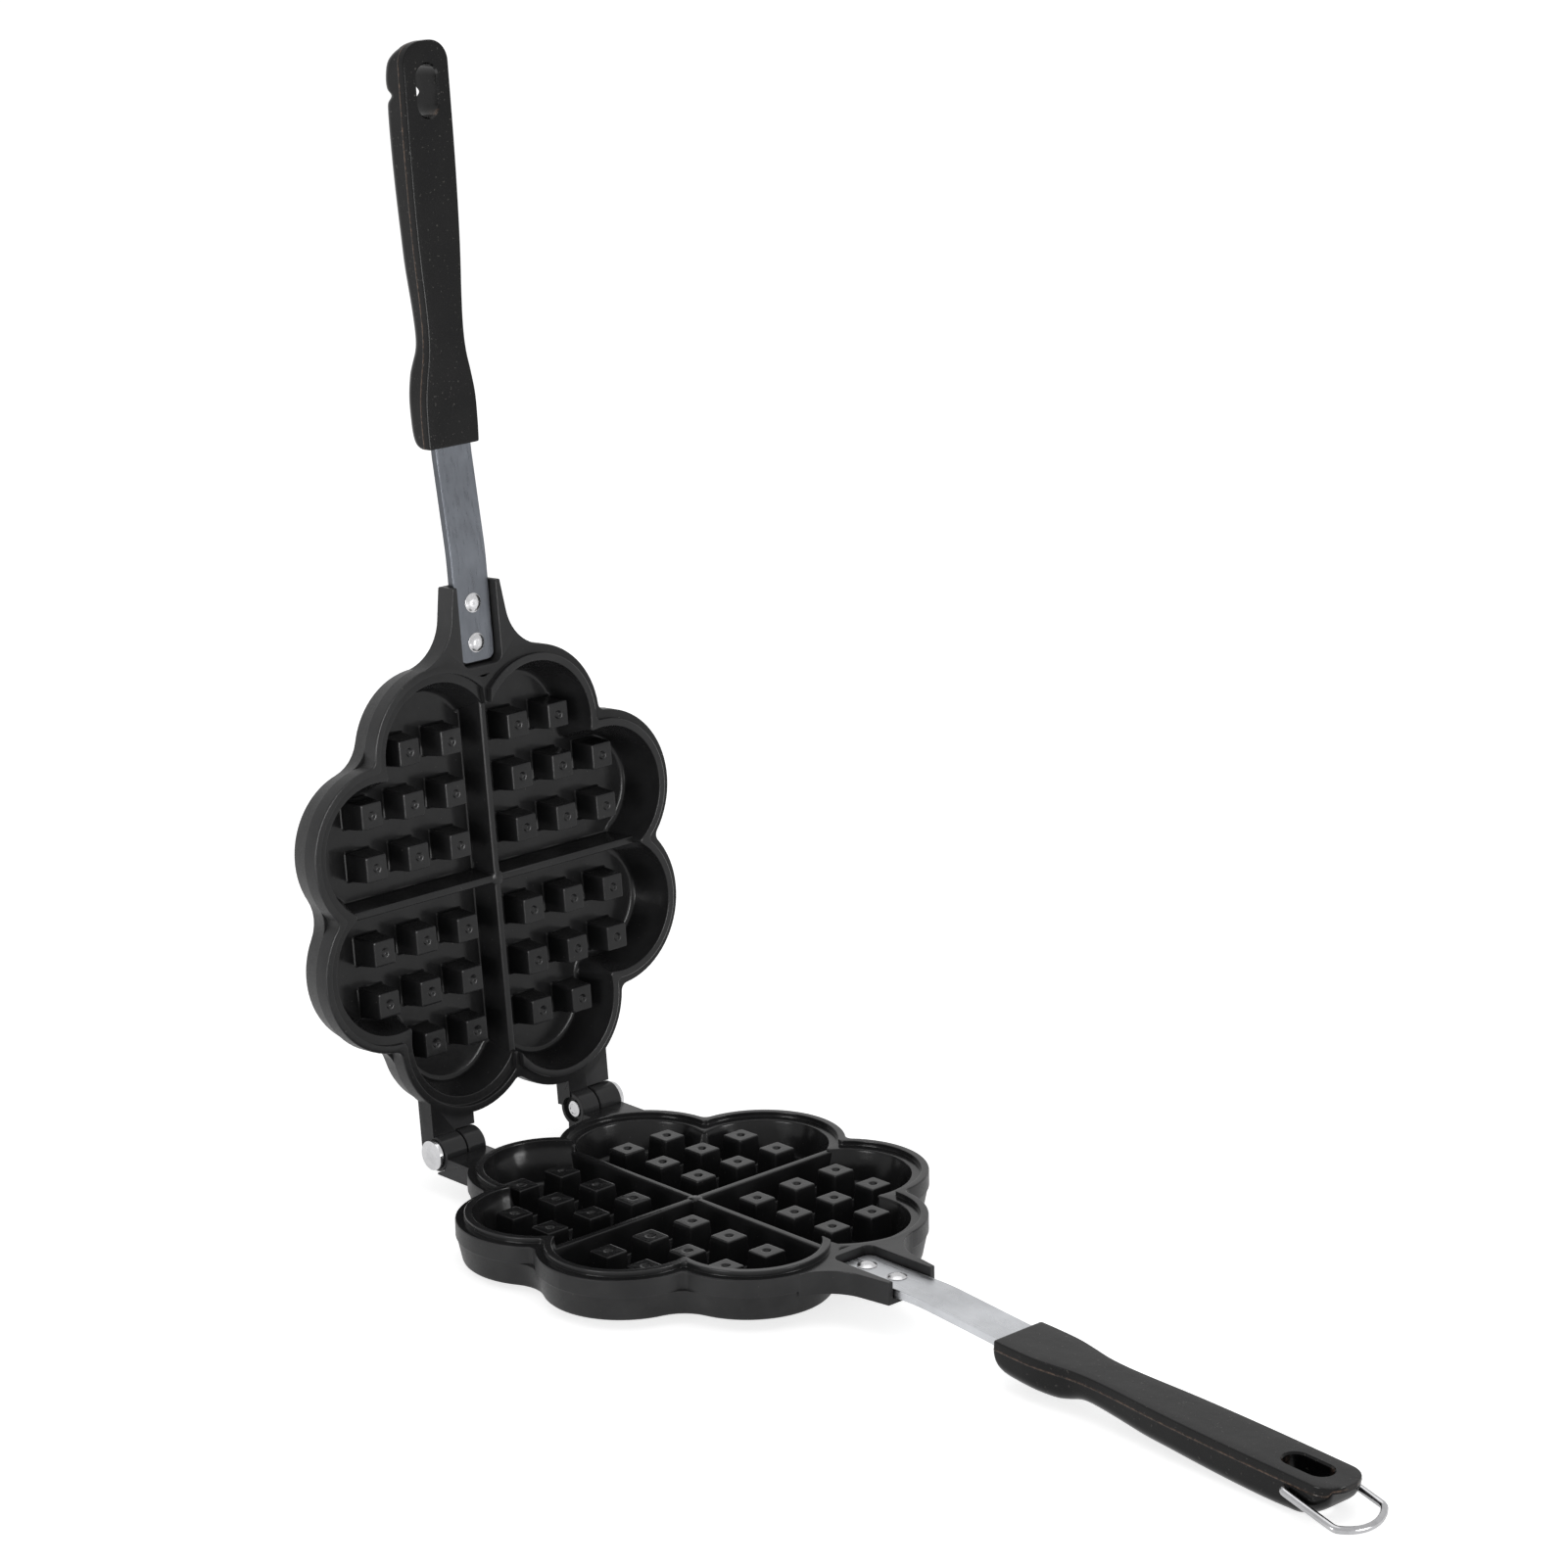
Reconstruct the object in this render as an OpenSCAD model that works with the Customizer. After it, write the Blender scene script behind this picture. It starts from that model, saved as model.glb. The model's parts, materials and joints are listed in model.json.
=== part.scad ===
// Egg waffle pan: a double-sided stove-top waffle iron in the shape of a flower.
// Two equal aluminium castings share a hinge. Each has a riveted steel strap and a
// moulded grip. A wire loop at the lower grip's end latches the two grips together.
// Millimetres. +X runs from the hinge to the grips, +Z is up and the origin is the
// centre of the lower pan's flat base. The lid is drawn open, resting on its stop.

/* [Pan outline] */
// Radius of the ring on which the eight lobe centres lie
lobe_ring = 55.5; // [50:0.5:62]
// Radius of each lobe at the rim's outer edge
lobe_r = 30.6; // [27:0.1:34]
// Height from the flat base to the plane where the two castings meet
part_z = 15.5; // [13:0.5:21]
// Height of the upright rim band, measured down from the parting plane
band_h = 6.3; // [4:0.1:9]
// Step inwards from the rim band to the wall below it
band_step = 0.4; // [0:0.1:1]
// How much the wall below the band leans in on its way to the base
wall_lean = 1.6; // [0.5:0.1:3]
// Fillet radius in the band, where two lobes meet
notch_r = 3; // [1:0.5:8]
// How far a fillet circle overlaps the lobes it joins
notch_bite = 0.06; // [0.01:0.01:0.1]

/* [Cavity] */
// Thickness of the pan's floor
floor_t = 2; // [1.5:0.1:4]
// Width of the rim between the cavity and the outside
rim_w = 5.9; // [4:0.1:8]
// How much the cavity's wall leans in from rim to floor
cavity_lean = 2.3; // [1:0.1:3]
// Distance from the parting plane down to the tops of the pegs and ribs
peg_drop = 2.7; // [1:0.1:5]
// Pitch of the square peg grid
peg_pitch = 19; // [16:0.5:22]
// Distance from the middle of the pan to the first row of pegs
peg_first = 15.4; // [13:0.1:18]
// Side of a peg's square top
peg_top = 9.1; // [7:0.1:12]
// Side of a peg's square foot
peg_foot = 10.8; // [8:0.1:13]
// Radius of the dimple in each peg's top
dimple_r = 1.25; // [0.5:0.05:2]
// Depth of the dimple
dimple_d = 0.8; // [0.3:0.1:1.5]
// Width of the cross ribs at the top
rib_top = 2.6; // [1.5:0.1:4]
// Width of the cross ribs at the floor
rib_foot = 5; // [3:0.1:7]
// Radius of the round boss where the ribs cross
boss_r = 2.75; // [2:0.05:4]

/* [Interlocking rim] */
// Gap left between the two closed castings, face to face
seam_gap = 0.3; // [0.1:0.05:0.6]
// Width of the raised tongue, which runs along half of the rim
tongue_w = 2.8; // [1.5:0.1:4]
// Height of the tongue above the parting plane
tongue_h = 1.8; // [1:0.1:3]
// Depth of the recess in the other half of the rim
recess_d = 2; // [1.2:0.1:3.2]
// Sideways clearance between tongue and recess
tongue_play = 0.3; // [0.3:0.05:0.6]
// Distance from the handle's axis at which the tongue ends
tongue_end = 1; // [0.6:0.1:3]
// Distance from the handle's axis at which the recess ends
recess_end = 0.4; // [0:0.1:2]

/* [Handle tang] */
// Where the tang ends, from the middle of the pan
tang_x = 108; // [100:0.5:120]
// Half width of the tang's end
tang_half = 10.8; // [9.5:0.1:14]
// Thickness of the tang
tang_t = 8.5; // [6:0.1:11]
// Radius of the flare between the tang and the pan
flare_r = 18; // [10:0.5:25]
// Where the centre of the flare circle lies along the handle
flare_x = 99; // [95:0.5:105]
// Where the strap's pocket begins
pocket_x = 78.5; // [77:0.1:82]
// Corner radius of the pocket and of the strap's end
pocket_r = 3; // [1:0.5:5]
// Sideways play between the strap and the pocket's walls
pocket_play = 0.7; // [0.2:0.1:1.5]

/* [Hinge] */
// Distance from the middle of the pan back to the hinge axis
hinge_x = 92.6; // [88:0.1:98]
// Angle between the two castings when the lid rests open on its stop
open_angle = 94.7; // [60:0.1:120]
// Radius of the hinge knuckles
knuckle_r = 6.4; // [5:0.1:8]
// Radial clearance around the other casting's knuckle
knuckle_play = 0.35; // [0.3:0.05:0.8]
// Inner side of the hinge arms, from the handle's axis
arm_in = 22.5; // [20:0.5:28]
// Outer side of the hinge arms
arm_out = 41.5; // [36:0.5:46]
// Where the inner knuckles begin
knuckle_in = 23; // [20.5:0.5:28]
// Where an inner knuckle ends and the outer one begins
knuckle_mid = 31.3; // [28:0.1:36]
// Gap between two knuckles on one pin
knuckle_gap = 0.6; // [0.2:0.1:1]
// Depth of the arms below the parting plane
arm_depth = 7.4; // [6:0.1:9]
// How far the arm's tip stops short of the hinge axis
tip_short = 1; // [0.5:0.1:2]
// How far the stop lug stands out from the hinge axis
lug_reach = 8; // [7:0.1:9]
// Thickness of the stop lug
lug_t = 3.5; // [2:0.1:5]
// Gap left between the stop lug and the arm's tip
lug_gap = 0.03; // [0.01:0.01:0.2]

/* [Hinge pins] */
// Radius of a hinge pin
pin_r = 2.5; // [2:0.1:3.5]
// Radial clearance of the pin in its knuckles
pin_play = 0.08; // [0.02:0.01:0.1]
// Radius of the pin's flat head
pin_head_r = 5.5; // [4:0.1:6.4]
// Thickness of the pin's head
pin_head_t = 1.8; // [1:0.1:3]
// Gap behind the pin's head
pin_head_gap = 0.3; // [0.1:0.1:0.8]
// Radius of the counterbore at the inner end
pin_sink_r = 4.75; // [4:0.05:5.5]
// Depth of the counterbore
pin_sink_d = 1.5; // [1:0.1:2.5]
// Radius of the peened end in the counterbore
peen_r = 3.25; // [2.8:0.05:4]
// Thickness of the peened end
peen_t = 1; // [0.6:0.1:1.5]

/* [Straps] */
// Width of the steel straps
strap_w = 16; // [12:0.5:20]
// Thickness of the straps
strap_t = 3.2; // [2:0.1:5]
// Gap between the strap's end and the pocket's end
strap_end_gap = 1.3; // [0.5:0.1:3]
// Distance from the parting plane down to the strap's face
strap_drop = 3.1; // [2:0.1:5]
// Where the strap bends away from the other strap
bend_x = 118.8; // [112:0.1:126]
// Bend of the lower strap, in degrees
bend_low = 5.3; // [0:0.1:10]
// Bend of the upper strap, in degrees
bend_up = 4.7; // [0:0.1:10]
// Length of the strap's tail inside the grip
tail_l = 45; // [30:1:60]
// Clearance between the tail and the grip, and under the strap
tail_play = 0.05; // [0.02:0.01:0.2]

/* [Rivets] */
// Where the inner rivet stands
rivet_x1 = 86.5; // [84:0.1:90]
// Where the outer rivet stands
rivet_x2 = 100.9; // [96:0.1:104]
// Radius of the rivets' shanks
rivet_r = 2; // [1.5:0.1:3]
// Radial clearance around a shank
rivet_play = 0.05; // [0.02:0.01:0.1]
// Radius of the domed rivet heads
rivet_head_r = 3.5; // [2.8:0.1:4.5]
// Height of the rivet heads
rivet_head_h = 1.2; // [0.8:0.1:2]

/* [Grips] */
// Where the grips begin, from the middle of the pan
grip_x = 157; // [150:0.5:165]
// Length of a grip
grip_l = 142; // [125:1:160]
// How far the strap's face lies below the grip's face at the front
grip_cover = 0.9; // [0.5:0.1:2]
// Slope of the lower grip away from the other one, in degrees
slope_low = 3.2; // [-3:0.1:6]
// Slope of the upper grip; below zero it leans towards the lower one
slope_up = -1.2; // [-3:0.1:6]
// Radius of the grips' ends seen from above
tip_r = 8; // [6:0.1:9.9]
// Radius of the long rounded edges on a grip's back
back_r = 4.5; // [2:0.1:6]
// Bevel around the grip's flat face
face_bevel = 0.6; // [0.3:0.1:1.2]
// Distance from the grip's end back to the middle of the hanging hole
hang_end = 17.4; // [15:0.1:24]
// Length of the hanging hole
hang_l = 18.4; // [12:0.1:22]
// Width of the hanging hole
hang_w = 9; // [6:0.1:11]

/* [Latch wire] */
// Diameter of the wire
wire_d = 2.6; // [2:0.1:3.2]
// Distance from the lower grip's end back to the wire's pivot, along the grip
wire_back = 17.92; // [12:0.01:24]
// Depth of the pivot below the grip's face
wire_drop = 5.138; // [4:0.001:7]
// Distance of each leg's axis from the handle's axis
leg_y = 11.7; // [10.8:0.1:13]
// Distance from the pivot to the far end of the loop
wire_reach = 27.1; // [22:0.1:34]
// Radius of the bowed end
bow_r = 16.8; // [13:0.1:30]
// Radius of the two corners beside the bowed end
corner_r = 3; // [2:0.1:5]
// Radius of the bends at the pivot
elbow_r = 1.7; // [1.5:0.1:4]
// Depth of the pivot holes in the grip's sides
pivot_d = 3.6; // [2.5:0.1:5]
// Radial clearance of the wire in the pivot holes
pivot_play = 0.1; // [0.02:0.01:0.1]
// How far the loop hangs down at rest, in degrees
wire_hang = 15.5; // [0:0.5:60]

/* [Hidden] */
$fn = 96;
cast_black = [0.10, 0.10, 0.105];
bakelite = [0.06, 0.06, 0.065];
steel = [0.66, 0.68, 0.70];
bright = [0.82, 0.83, 0.85];
top_z = part_z - seam_gap / 2;
// Reach of the cutters that pass clear of everything they cut
spare = 100;
band_z = part_z - band_h;
wall_r = lobe_r - band_step;
foot_r = wall_r - wall_lean;
cavity_r = lobe_r - rim_w;
cavity_foot_r = cavity_r - cavity_lean;
peg_z = part_z - peg_drop;
tongue_r = cavity_r + tongue_w;
recess_r = tongue_r + tongue_play;
half_chord = lobe_ring * sin(22.5);
chord_x = lobe_ring * cos(22.5);
notch_sum = lobe_r + notch_r;
notch_x = chord_x + sqrt(pow(notch_sum, 2) - pow(half_chord, 2));
flare_y = half_chord + sqrt(pow(lobe_r + flare_r, 2) - pow(flare_x - chord_x, 2));
flare_gap = norm([tang_x - flare_x, tang_half - flare_y]);
flare_turn = atan2(tang_half - flare_y, tang_x - flare_x) - acos(flare_r / flare_gap);
relief_r = knuckle_r + knuckle_play;
pin_bore_r = pin_r + pin_play;
strap_x = pocket_x + strap_end_gap;
strap_z = part_z - strap_drop;
hang_s = grip_l - hang_end;
low_face_z = strap_z - (grip_x - bend_x) * tan(bend_low) + grip_cover;
wire_s = grip_l - wire_back;
wire_x = grip_x + wire_s * cos(slope_low) - wire_drop * sin(slope_low);
wire_z = low_face_z - wire_s * sin(slope_low) - wire_drop * cos(slope_low);
wire_r = wire_d / 2;

// Half width of a grip along its length: distance from its front, half width
grip_plan = [[0, 11.3], [7, 11.5], [17, 11.3], [25, 10.1], [33, 8.6], [41, 8.1],
             [52, 8.4], [72, 9.5], [100, 10.1], [134, 10]];
// Depth of a grip along its length: distance from its front, depth below its face
grip_side = [[0, 7.2], [0.9, 9.4], [2.8, 10.9], [7, 11.8], [18, 12.5], [25.5, 12.6],
             [30, 11.8], [34.5, 10.5], [39, 10.2], [48, 10.8], [63, 11.9], [75, 12.2],
             [94, 12.9], [110, 13.3], [118, 13.3]];
// The same for the end of the lower grip, where a thin lip is left under the face
tip_low = [[124, 13.1], [129, 12.7], [135, 10.1], [138.6, 7.4], [139.6, 5],
           [140.1, 2.5], [142, 2.3]];
// The same for the end of the upper grip: a seat for the wire and a rounded nose
tip_up = [[121, 12.9], [123.6, 10.8], [126, 12.9], [130, 13.2], [135, 11.8],
          [139, 8.6], [141, 5.2], [142, 2.6]];

// A point on the smooth curve through the points p, between point i and the next one
function curve(p, i, t) =
    let (a = p[max(i - 1, 0)], b = p[i], c = p[i + 1], d = p[min(i + 2, len(p) - 1)])
    0.5 * (2 * b + (c - a) * t + (2 * a - 5 * b + 4 * c - d) * t * t
           + (3 * b - a - 3 * c + d) * t * t * t);
// All points of that curve, n for each stretch
function smooth(p, n) = concat(
    [for (i = [0 : len(p) - 2]) for (k = [0 : n - 1]) curve(p, i, k / n)],
    [p[len(p) - 1]]);
// Half width of a grip at distance s from its front
function grip_half(s) = s <= grip_l - tip_r
    ? lookup(s, smooth(grip_plan, 4))
    : lookup(grip_l - tip_r, grip_plan) - tip_r
      + sqrt(max(pow(tip_r, 2) - pow(s - grip_l + tip_r, 2), 0.01));
// One cross section of a grip: half width w, depth d, back edges rounded by r
function section(w, d, r) = concat(
    [[-w + face_bevel, 0], [w - face_bevel, 0], [w, -face_bevel]],
    [for (a = [0 : 15 : 90]) [w - r + r * cos(a), -d + r - r * sin(a)]],
    [for (a = [90 : 15 : 180]) [-w + r + r * cos(a), -d + r - r * sin(a)]],
    [[-w, -face_bevel]]);
// A point on the underside of the strap, where its slope changes from a to b
function miter(x, z, a, b) = [x, z] - strap_t / cos((b - a) / 2)
    * [sin((a + b) / 2), cos((a + b) / 2)];

// Turns a part of the lower half into the same part of the open lid
module lid_place() {
    translate([-hinge_x, 0, part_z])
        rotate([0, -open_angle, 0])
            translate([hinge_x, 0, 0])
                rotate([180, 0, 0])
                    translate([0, 0, -part_z])
                        children();
}

// One solid of revolution on each lobe's centre, from lobe number a to lobe number b
module on_lobes(a, b) {
    for (k = [a : b])
        rotate([0, 0, 22.5 + 45 * k])
            translate([lobe_ring, 0, 0])
                children();
}

// Regular octagon through the lobe centres
module octagon(z0, z1) {
    translate([0, 0, z0])
        linear_extrude(z1 - z0)
            polygon([for (k = [0 : 7])
                lobe_ring * [cos(22.5 + 45 * k), sin(22.5 + 45 * k)]]);
}

// Star through the lobe centres and the fillet centres
module star(z0, z1) {
    translate([0, 0, z0])
        linear_extrude(z1 - z0)
            polygon([for (k = [0 : 7]) for (p = [[notch_x, 0], [lobe_ring, 22.5]])
                p[0] * [cos(45 * k + p[1]), sin(45 * k + p[1])]]);
}

// Solid flower: lobes, rim band, and the fillets between the lobes, cut off level
module flower() {
    difference() {
        union() {
            on_lobes(0, 7)
                rotate_extrude()
                    polygon([[0, 0], [foot_r, 0], [wall_r, band_z - band_step],
                             [lobe_r, band_z], [lobe_r, part_z + 1],
                             [0, part_z + 1]]);
            difference() {
                star(0, part_z + 1);
                for (k = [0 : 7])
                    rotate([0, 0, 45 * k])
                        translate([notch_x, 0, 0])
                            rotate_extrude()
                                polygon([[0, -1], [notch_sum - foot_r + notch_bite, -1],
                                         [notch_sum - foot_r + notch_bite, 0],
                                         [notch_sum - wall_r + notch_bite,
                                          band_z - band_step],
                                         [notch_r + notch_bite, band_z],
                                         [notch_r + notch_bite, part_z + 2],
                                         [0, part_z + 2]]);
            }
        }
        translate([-spare, -spare, top_z])
            cube([2 * spare, 2 * spare, spare]);
    }
}

// Half of a wider flower at the rim, on the side where y has the sign given
module rim_half(r, z0, z1, end, side) {
    intersection() {
        union() {
            on_lobes(side > 0 ? 0 : 4, side > 0 ? 3 : 7)
                translate([0, 0, z0])
                    cylinder(h = z1 - z0, r = r);
            octagon(z0, z1);
        }
        translate([-spare, side > 0 ? end : -spare - end, z0 - 1])
            cube([2 * spare, spare, z1 - z0 + 2]);
    }
}

// Space inside the casting, open at the top
module cavity() {
    on_lobes(0, 7)
        rotate_extrude()
            polygon([[0, floor_t], [cavity_foot_r, floor_t], [cavity_r, part_z],
                     [cavity_r, part_z + 4], [0, part_z + 4]]);
    octagon(floor_t, part_z + 4);
}

// Row of long ridges with sloping sides, one for each row of pegs
module ridges() {
    rotate([90, 0, 90])
        translate([0, 0, -peg_first - 2 * peg_pitch - peg_foot])
            linear_extrude(2 * (peg_first + 2 * peg_pitch + peg_foot))
                for (m = [0 : 2])
                    for (side = [-1, 1])
                        translate([side * (peg_first + m * peg_pitch), 0])
                            polygon([[-peg_foot / 2, floor_t - 1],
                                     [-peg_top / 2, peg_z], [peg_top / 2, peg_z],
                                     [peg_foot / 2, floor_t - 1]]);
}

// Pegs: a grid of six by six without its corners, each with a dimple
module pegs() {
    reach = peg_first + 1.5 * peg_pitch;
    difference() {
        intersection() {
            ridges();
            rotate([0, 0, 90])
                ridges();
        }
        for (sx = [-1, 1])
            for (sy = [-1, 1])
                translate([sx * (reach + 25) - 25, sy * (reach + 25) - 25, -1])
                    cube([spare / 2, spare / 2, part_z + 2]);
        for (a = [0 : 2])
            for (b = [0 : 2])
                if (a + b < 4)
                    for (sx = [-1, 1])
                        for (sy = [-1, 1])
                            translate([sx * (peg_first + a * peg_pitch),
                                       sy * (peg_first + b * peg_pitch),
                                       peg_z - dimple_d])
                                cylinder(h = dimple_d + 0.01,
                                         r1 = dimple_r * 0.55, r2 = dimple_r);
    }
}

// Cross ribs from rim to rim
module ribs() {
    reach = chord_x + sqrt(pow(cavity_r, 2) - pow(half_chord, 2)) + 2.5;
    for (turn = [0, 90])
        rotate([90, 0, turn + 90])
            translate([0, 0, -reach])
                linear_extrude(2 * reach)
                    polygon([[-rib_foot / 2, floor_t - 1], [-rib_top / 2, peg_z],
                             [rib_top / 2, peg_z], [rib_foot / 2, floor_t - 1]]);
    translate([0, 0, floor_t - 1])
        cylinder(h = peg_z - floor_t + 1, r = boss_r);
}

// Handle tang with its flared foot
module tang() {
    corner = [flare_x, flare_y] + flare_r * [cos(flare_turn), sin(flare_turn)];
    translate([0, 0, part_z - tang_t])
        linear_extrude(top_z - part_z + tang_t)
            difference() {
                polygon([[chord_x, half_chord], [flare_x, flare_y], corner,
                         [tang_x, tang_half], [tang_x, -tang_half],
                         [corner[0], -corner[1]], [flare_x, -flare_y],
                         [chord_x, -half_chord]]);
                for (side = [-1, 1])
                    translate([flare_x, side * flare_y])
                        circle(r = flare_r + notch_bite);
            }
}

// Pocket in the tang that holds the strap
module pocket() {
    half = strap_w / 2 + pocket_play;
    translate([0, 0, strap_z - strap_t - tail_play])
        linear_extrude(spare) {
            translate([pocket_x + pocket_r, -half])
                square([spare, 2 * half]);
            translate([pocket_x, pocket_r - half])
                square([2 * pocket_r, 2 * (half - pocket_r)]);
            for (side = [-1, 1])
                translate([pocket_x + pocket_r, side * (half - pocket_r)])
                    circle(r = pocket_r);
        }
}

// Cylinder along the hinge axis from y0 to y1
module hinge_round(r, y0, y1) {
    translate([-hinge_x, y0, part_z])
        rotate([-90, 0, 0])
            cylinder(h = y1 - y0, r = r);
}

// Near hinge arm: inner knuckle, stop lug, and room for the lid's outer knuckle
module near_arm() {
    difference() {
        union() {
            translate([tip_short - hinge_x, -arm_out, part_z - arm_depth])
                cube([hinge_x - tip_short - 72, arm_out - arm_in,
                      arm_depth - seam_gap / 2]);
            hinge_round(knuckle_r, -knuckle_mid + knuckle_gap / 2, -knuckle_in);
            translate([-hinge_x, 0, part_z])
                rotate([0, -open_angle, 0])
                    translate([tip_short - lug_gap - lug_t,
                               -knuckle_mid + knuckle_gap / 2, knuckle_r - 1])
                        cube([lug_t, knuckle_mid - knuckle_gap / 2 - knuckle_in,
                              lug_reach - knuckle_r + 1]);
        }
        hinge_round(relief_r, -arm_out - 1, -knuckle_mid);
        hinge_round(pin_bore_r, -arm_out - 1, -arm_in + 1);
        hinge_round(pin_sink_r, -knuckle_in - pin_sink_d, -arm_in + 1);
    }
}

// Far hinge arm: outer knuckle, and room for the lid's inner knuckle
module far_arm() {
    difference() {
        union() {
            translate([tip_short - hinge_x, arm_in, part_z - arm_depth])
                cube([hinge_x - tip_short - 72, arm_out - arm_in,
                      arm_depth - seam_gap / 2]);
            hinge_round(knuckle_r, knuckle_mid + knuckle_gap / 2, arm_out);
        }
        hinge_round(relief_r, arm_in - 1, knuckle_mid);
        hinge_round(pin_bore_r, arm_in - 1, arm_out + 1);
    }
}

// One casting, the same for both halves of the iron
module casting() {
    difference() {
        union() {
            flower();
            rim_half(tongue_r, part_z - 1, part_z + tongue_h, tongue_end, -1);
            tang();
            near_arm();
            far_arm();
        }
        cavity();
        rim_half(recess_r, part_z - recess_d, part_z + 4, recess_end, 1);
        pocket();
        for (x = [rivet_x1, rivet_x2])
            translate([x, 0, 0])
                cylinder(h = part_z, r = rivet_r + rivet_play);
    }
    pegs();
    ribs();
}

// Lower half of the iron
module lower_pan() {
    color(cast_black)
        casting();
}

// Lid, the same casting turned over
module upper_pan() {
    color(cast_black)
        lid_place()
            casting();
}

// Hinge pin along -Y: flat head outside, peened end in the inner counterbore
module pin_shape() {
    head_y = -arm_out - pin_head_gap;
    peen_y = -knuckle_in - pin_sink_d + tail_play;
    hinge_round(pin_head_r, head_y - pin_head_t, head_y);
    hinge_round(pin_r, head_y - 0.5, peen_y + 0.5);
    hinge_round(peen_r, peen_y, peen_y + peen_t);
}

// Hinge pin on the side with the lower half's inner knuckle
module hinge_pin_near() {
    color(bright)
        pin_shape();
}

// Hinge pin on the other side
module hinge_pin_far() {
    color(bright)
        mirror([0, 1, 0])
            pin_shape();
}

// Strap with its bend and its tail in the grip
module strap(bend, slope) {
    front_z = strap_z - (grip_x - bend_x) * tan(bend);
    end_x = grip_x + tail_l * cos(slope);
    end_z = front_z - tail_l * sin(slope);
    difference() {
        intersection() {
            translate([0, strap_w / 2, 0])
                rotate([90, 0, 0])
                    linear_extrude(strap_w)
                        polygon([[strap_x, strap_z], [bend_x, strap_z],
                                 [grip_x, front_z], [end_x, end_z],
                                 miter(end_x, end_z, slope, slope),
                                 miter(grip_x, front_z, bend, slope),
                                 miter(bend_x, strap_z, 0, bend),
                                 [strap_x, strap_z - strap_t]]);
            translate([0, 0, -spare / 2])
                linear_extrude(spare) {
                    translate([strap_x + pocket_r, -strap_w / 2])
                        square([grip_x + tail_l, strap_w]);
                    translate([strap_x, pocket_r - strap_w / 2])
                        square([2 * pocket_r, strap_w - 2 * pocket_r]);
                    for (side = [-1, 1])
                        translate([strap_x + pocket_r,
                                   side * (strap_w / 2 - pocket_r)])
                            circle(r = pocket_r);
                }
        }
        for (x = [rivet_x1, rivet_x2])
            translate([x, 0, strap_z - strap_t - 1])
                cylinder(h = strap_t + 2, r = rivet_r + rivet_play);
    }
}

// Steel strap of the lower half
module lower_strap() {
    color(steel)
        strap(bend_low, slope_low);
}

// Steel strap of the lid
module upper_strap() {
    color(steel)
        lid_place()
            strap(bend_up, slope_up);
}

// Rivet with a low domed head on the strap and a flat formed head under the tang
module rivet(x) {
    dome_r = (pow(rivet_head_r, 2) + pow(rivet_head_h, 2)) / (2 * rivet_head_h);
    translate([x, 0, 0]) {
        translate([0, 0, part_z - tang_t - rivet_head_h])
            cylinder(h = rivet_head_h - tail_play,
                     r1 = rivet_head_r - 0.8, r2 = rivet_head_r);
        translate([0, 0, part_z - tang_t - 0.5])
            cylinder(h = strap_z - part_z + tang_t + 1, r = rivet_r);
        intersection() {
            translate([0, 0, strap_z + tail_play + rivet_head_h - dome_r])
                sphere(r = dome_r);
            translate([0, 0, strap_z + tail_play])
                cylinder(h = rivet_head_h + 1, r = rivet_head_r + 1);
        }
    }
}

// Inner rivet of the lower half
module lower_rivet_inner() {
    color(bright)
        rivet(rivet_x1);
}

// Outer rivet of the lower half
module lower_rivet_outer() {
    color(bright)
        rivet(rivet_x2);
}

// Inner rivet of the lid
module upper_rivet_inner() {
    color(bright)
        lid_place()
            rivet(rivet_x1);
}

// Outer rivet of the lid
module upper_rivet_outer() {
    color(bright)
        lid_place()
            rivet(rivet_x2);
}

// Body of a grip as a skin over its cross sections; its face lies at z = 0
module grip_body(tip) {
    round_s = [for (a = [15 : 15 : 90]) grip_l - tip_r + tip_r * sin(a)];
    side = concat(smooth(concat(grip_side, tip), 3));
    depth_s = [for (p = side) if (p[0] < grip_l - tip_r) p[0]];
    stops = concat(depth_s, [grip_l - tip_r], round_s);
    rings = [for (s = stops)
        let (w = grip_half(s), d = lookup(s, side))
        [for (q = section(w, d, min(back_r, w - 0.05, d - face_bevel - 0.05)))
            [s, q[0], q[1]]]];
    n = len(rings[0]);
    m = len(rings);
    points = [for (ring = rings) for (p = ring) p];
    faces = concat(
        [[for (j = [0 : n - 1]) j]],
        [[for (j = [n - 1 : -1 : 0]) (m - 1) * n + j]],
        [for (i = [0 : m - 2]) for (j = [0 : n - 1])
            for (t = [[0, 1, 0], [1, 1, 1]])
                let (j1 = (j + 1) % n, low = i * n, high = (i + 1) * n)
                t[0] == 0 ? [low + j, high + j, low + j1]
                          : [high + j, high + j1, low + j1]]);
    polyhedron(points = points, faces = faces);
}

// Moves the grip's own frame to its place behind the strap
module grip_place(bend, slope) {
    translate([grip_x, 0, strap_z - (grip_x - bend_x) * tan(bend) + grip_cover])
        rotate([0, slope, 0])
            children();
}

// Grip with the slot for the strap's tail and the hanging hole
module grip(bend, slope, tip) {
    half = strap_w / 2 + tail_play;
    difference() {
        grip_place(bend, slope)
            grip_body(tip);
        translate([grip_x, 0, strap_z - (grip_x - bend_x) * tan(bend)])
            rotate([0, slope, 0])
                translate([-5, -half, -strap_t - tail_play])
                    cube([tail_l + 5 + tail_play, 2 * half, strap_t + 2 * tail_play]);
        grip_place(bend, slope)
            translate([hang_s, 0, -spare / 2])
                linear_extrude(spare) {
                    square([hang_l - hang_w, hang_w], center = true);
                    for (side = [-1, 1])
                        translate([side * (hang_l - hang_w) / 2, 0])
                            circle(d = hang_w);
                }
    }
}

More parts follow.
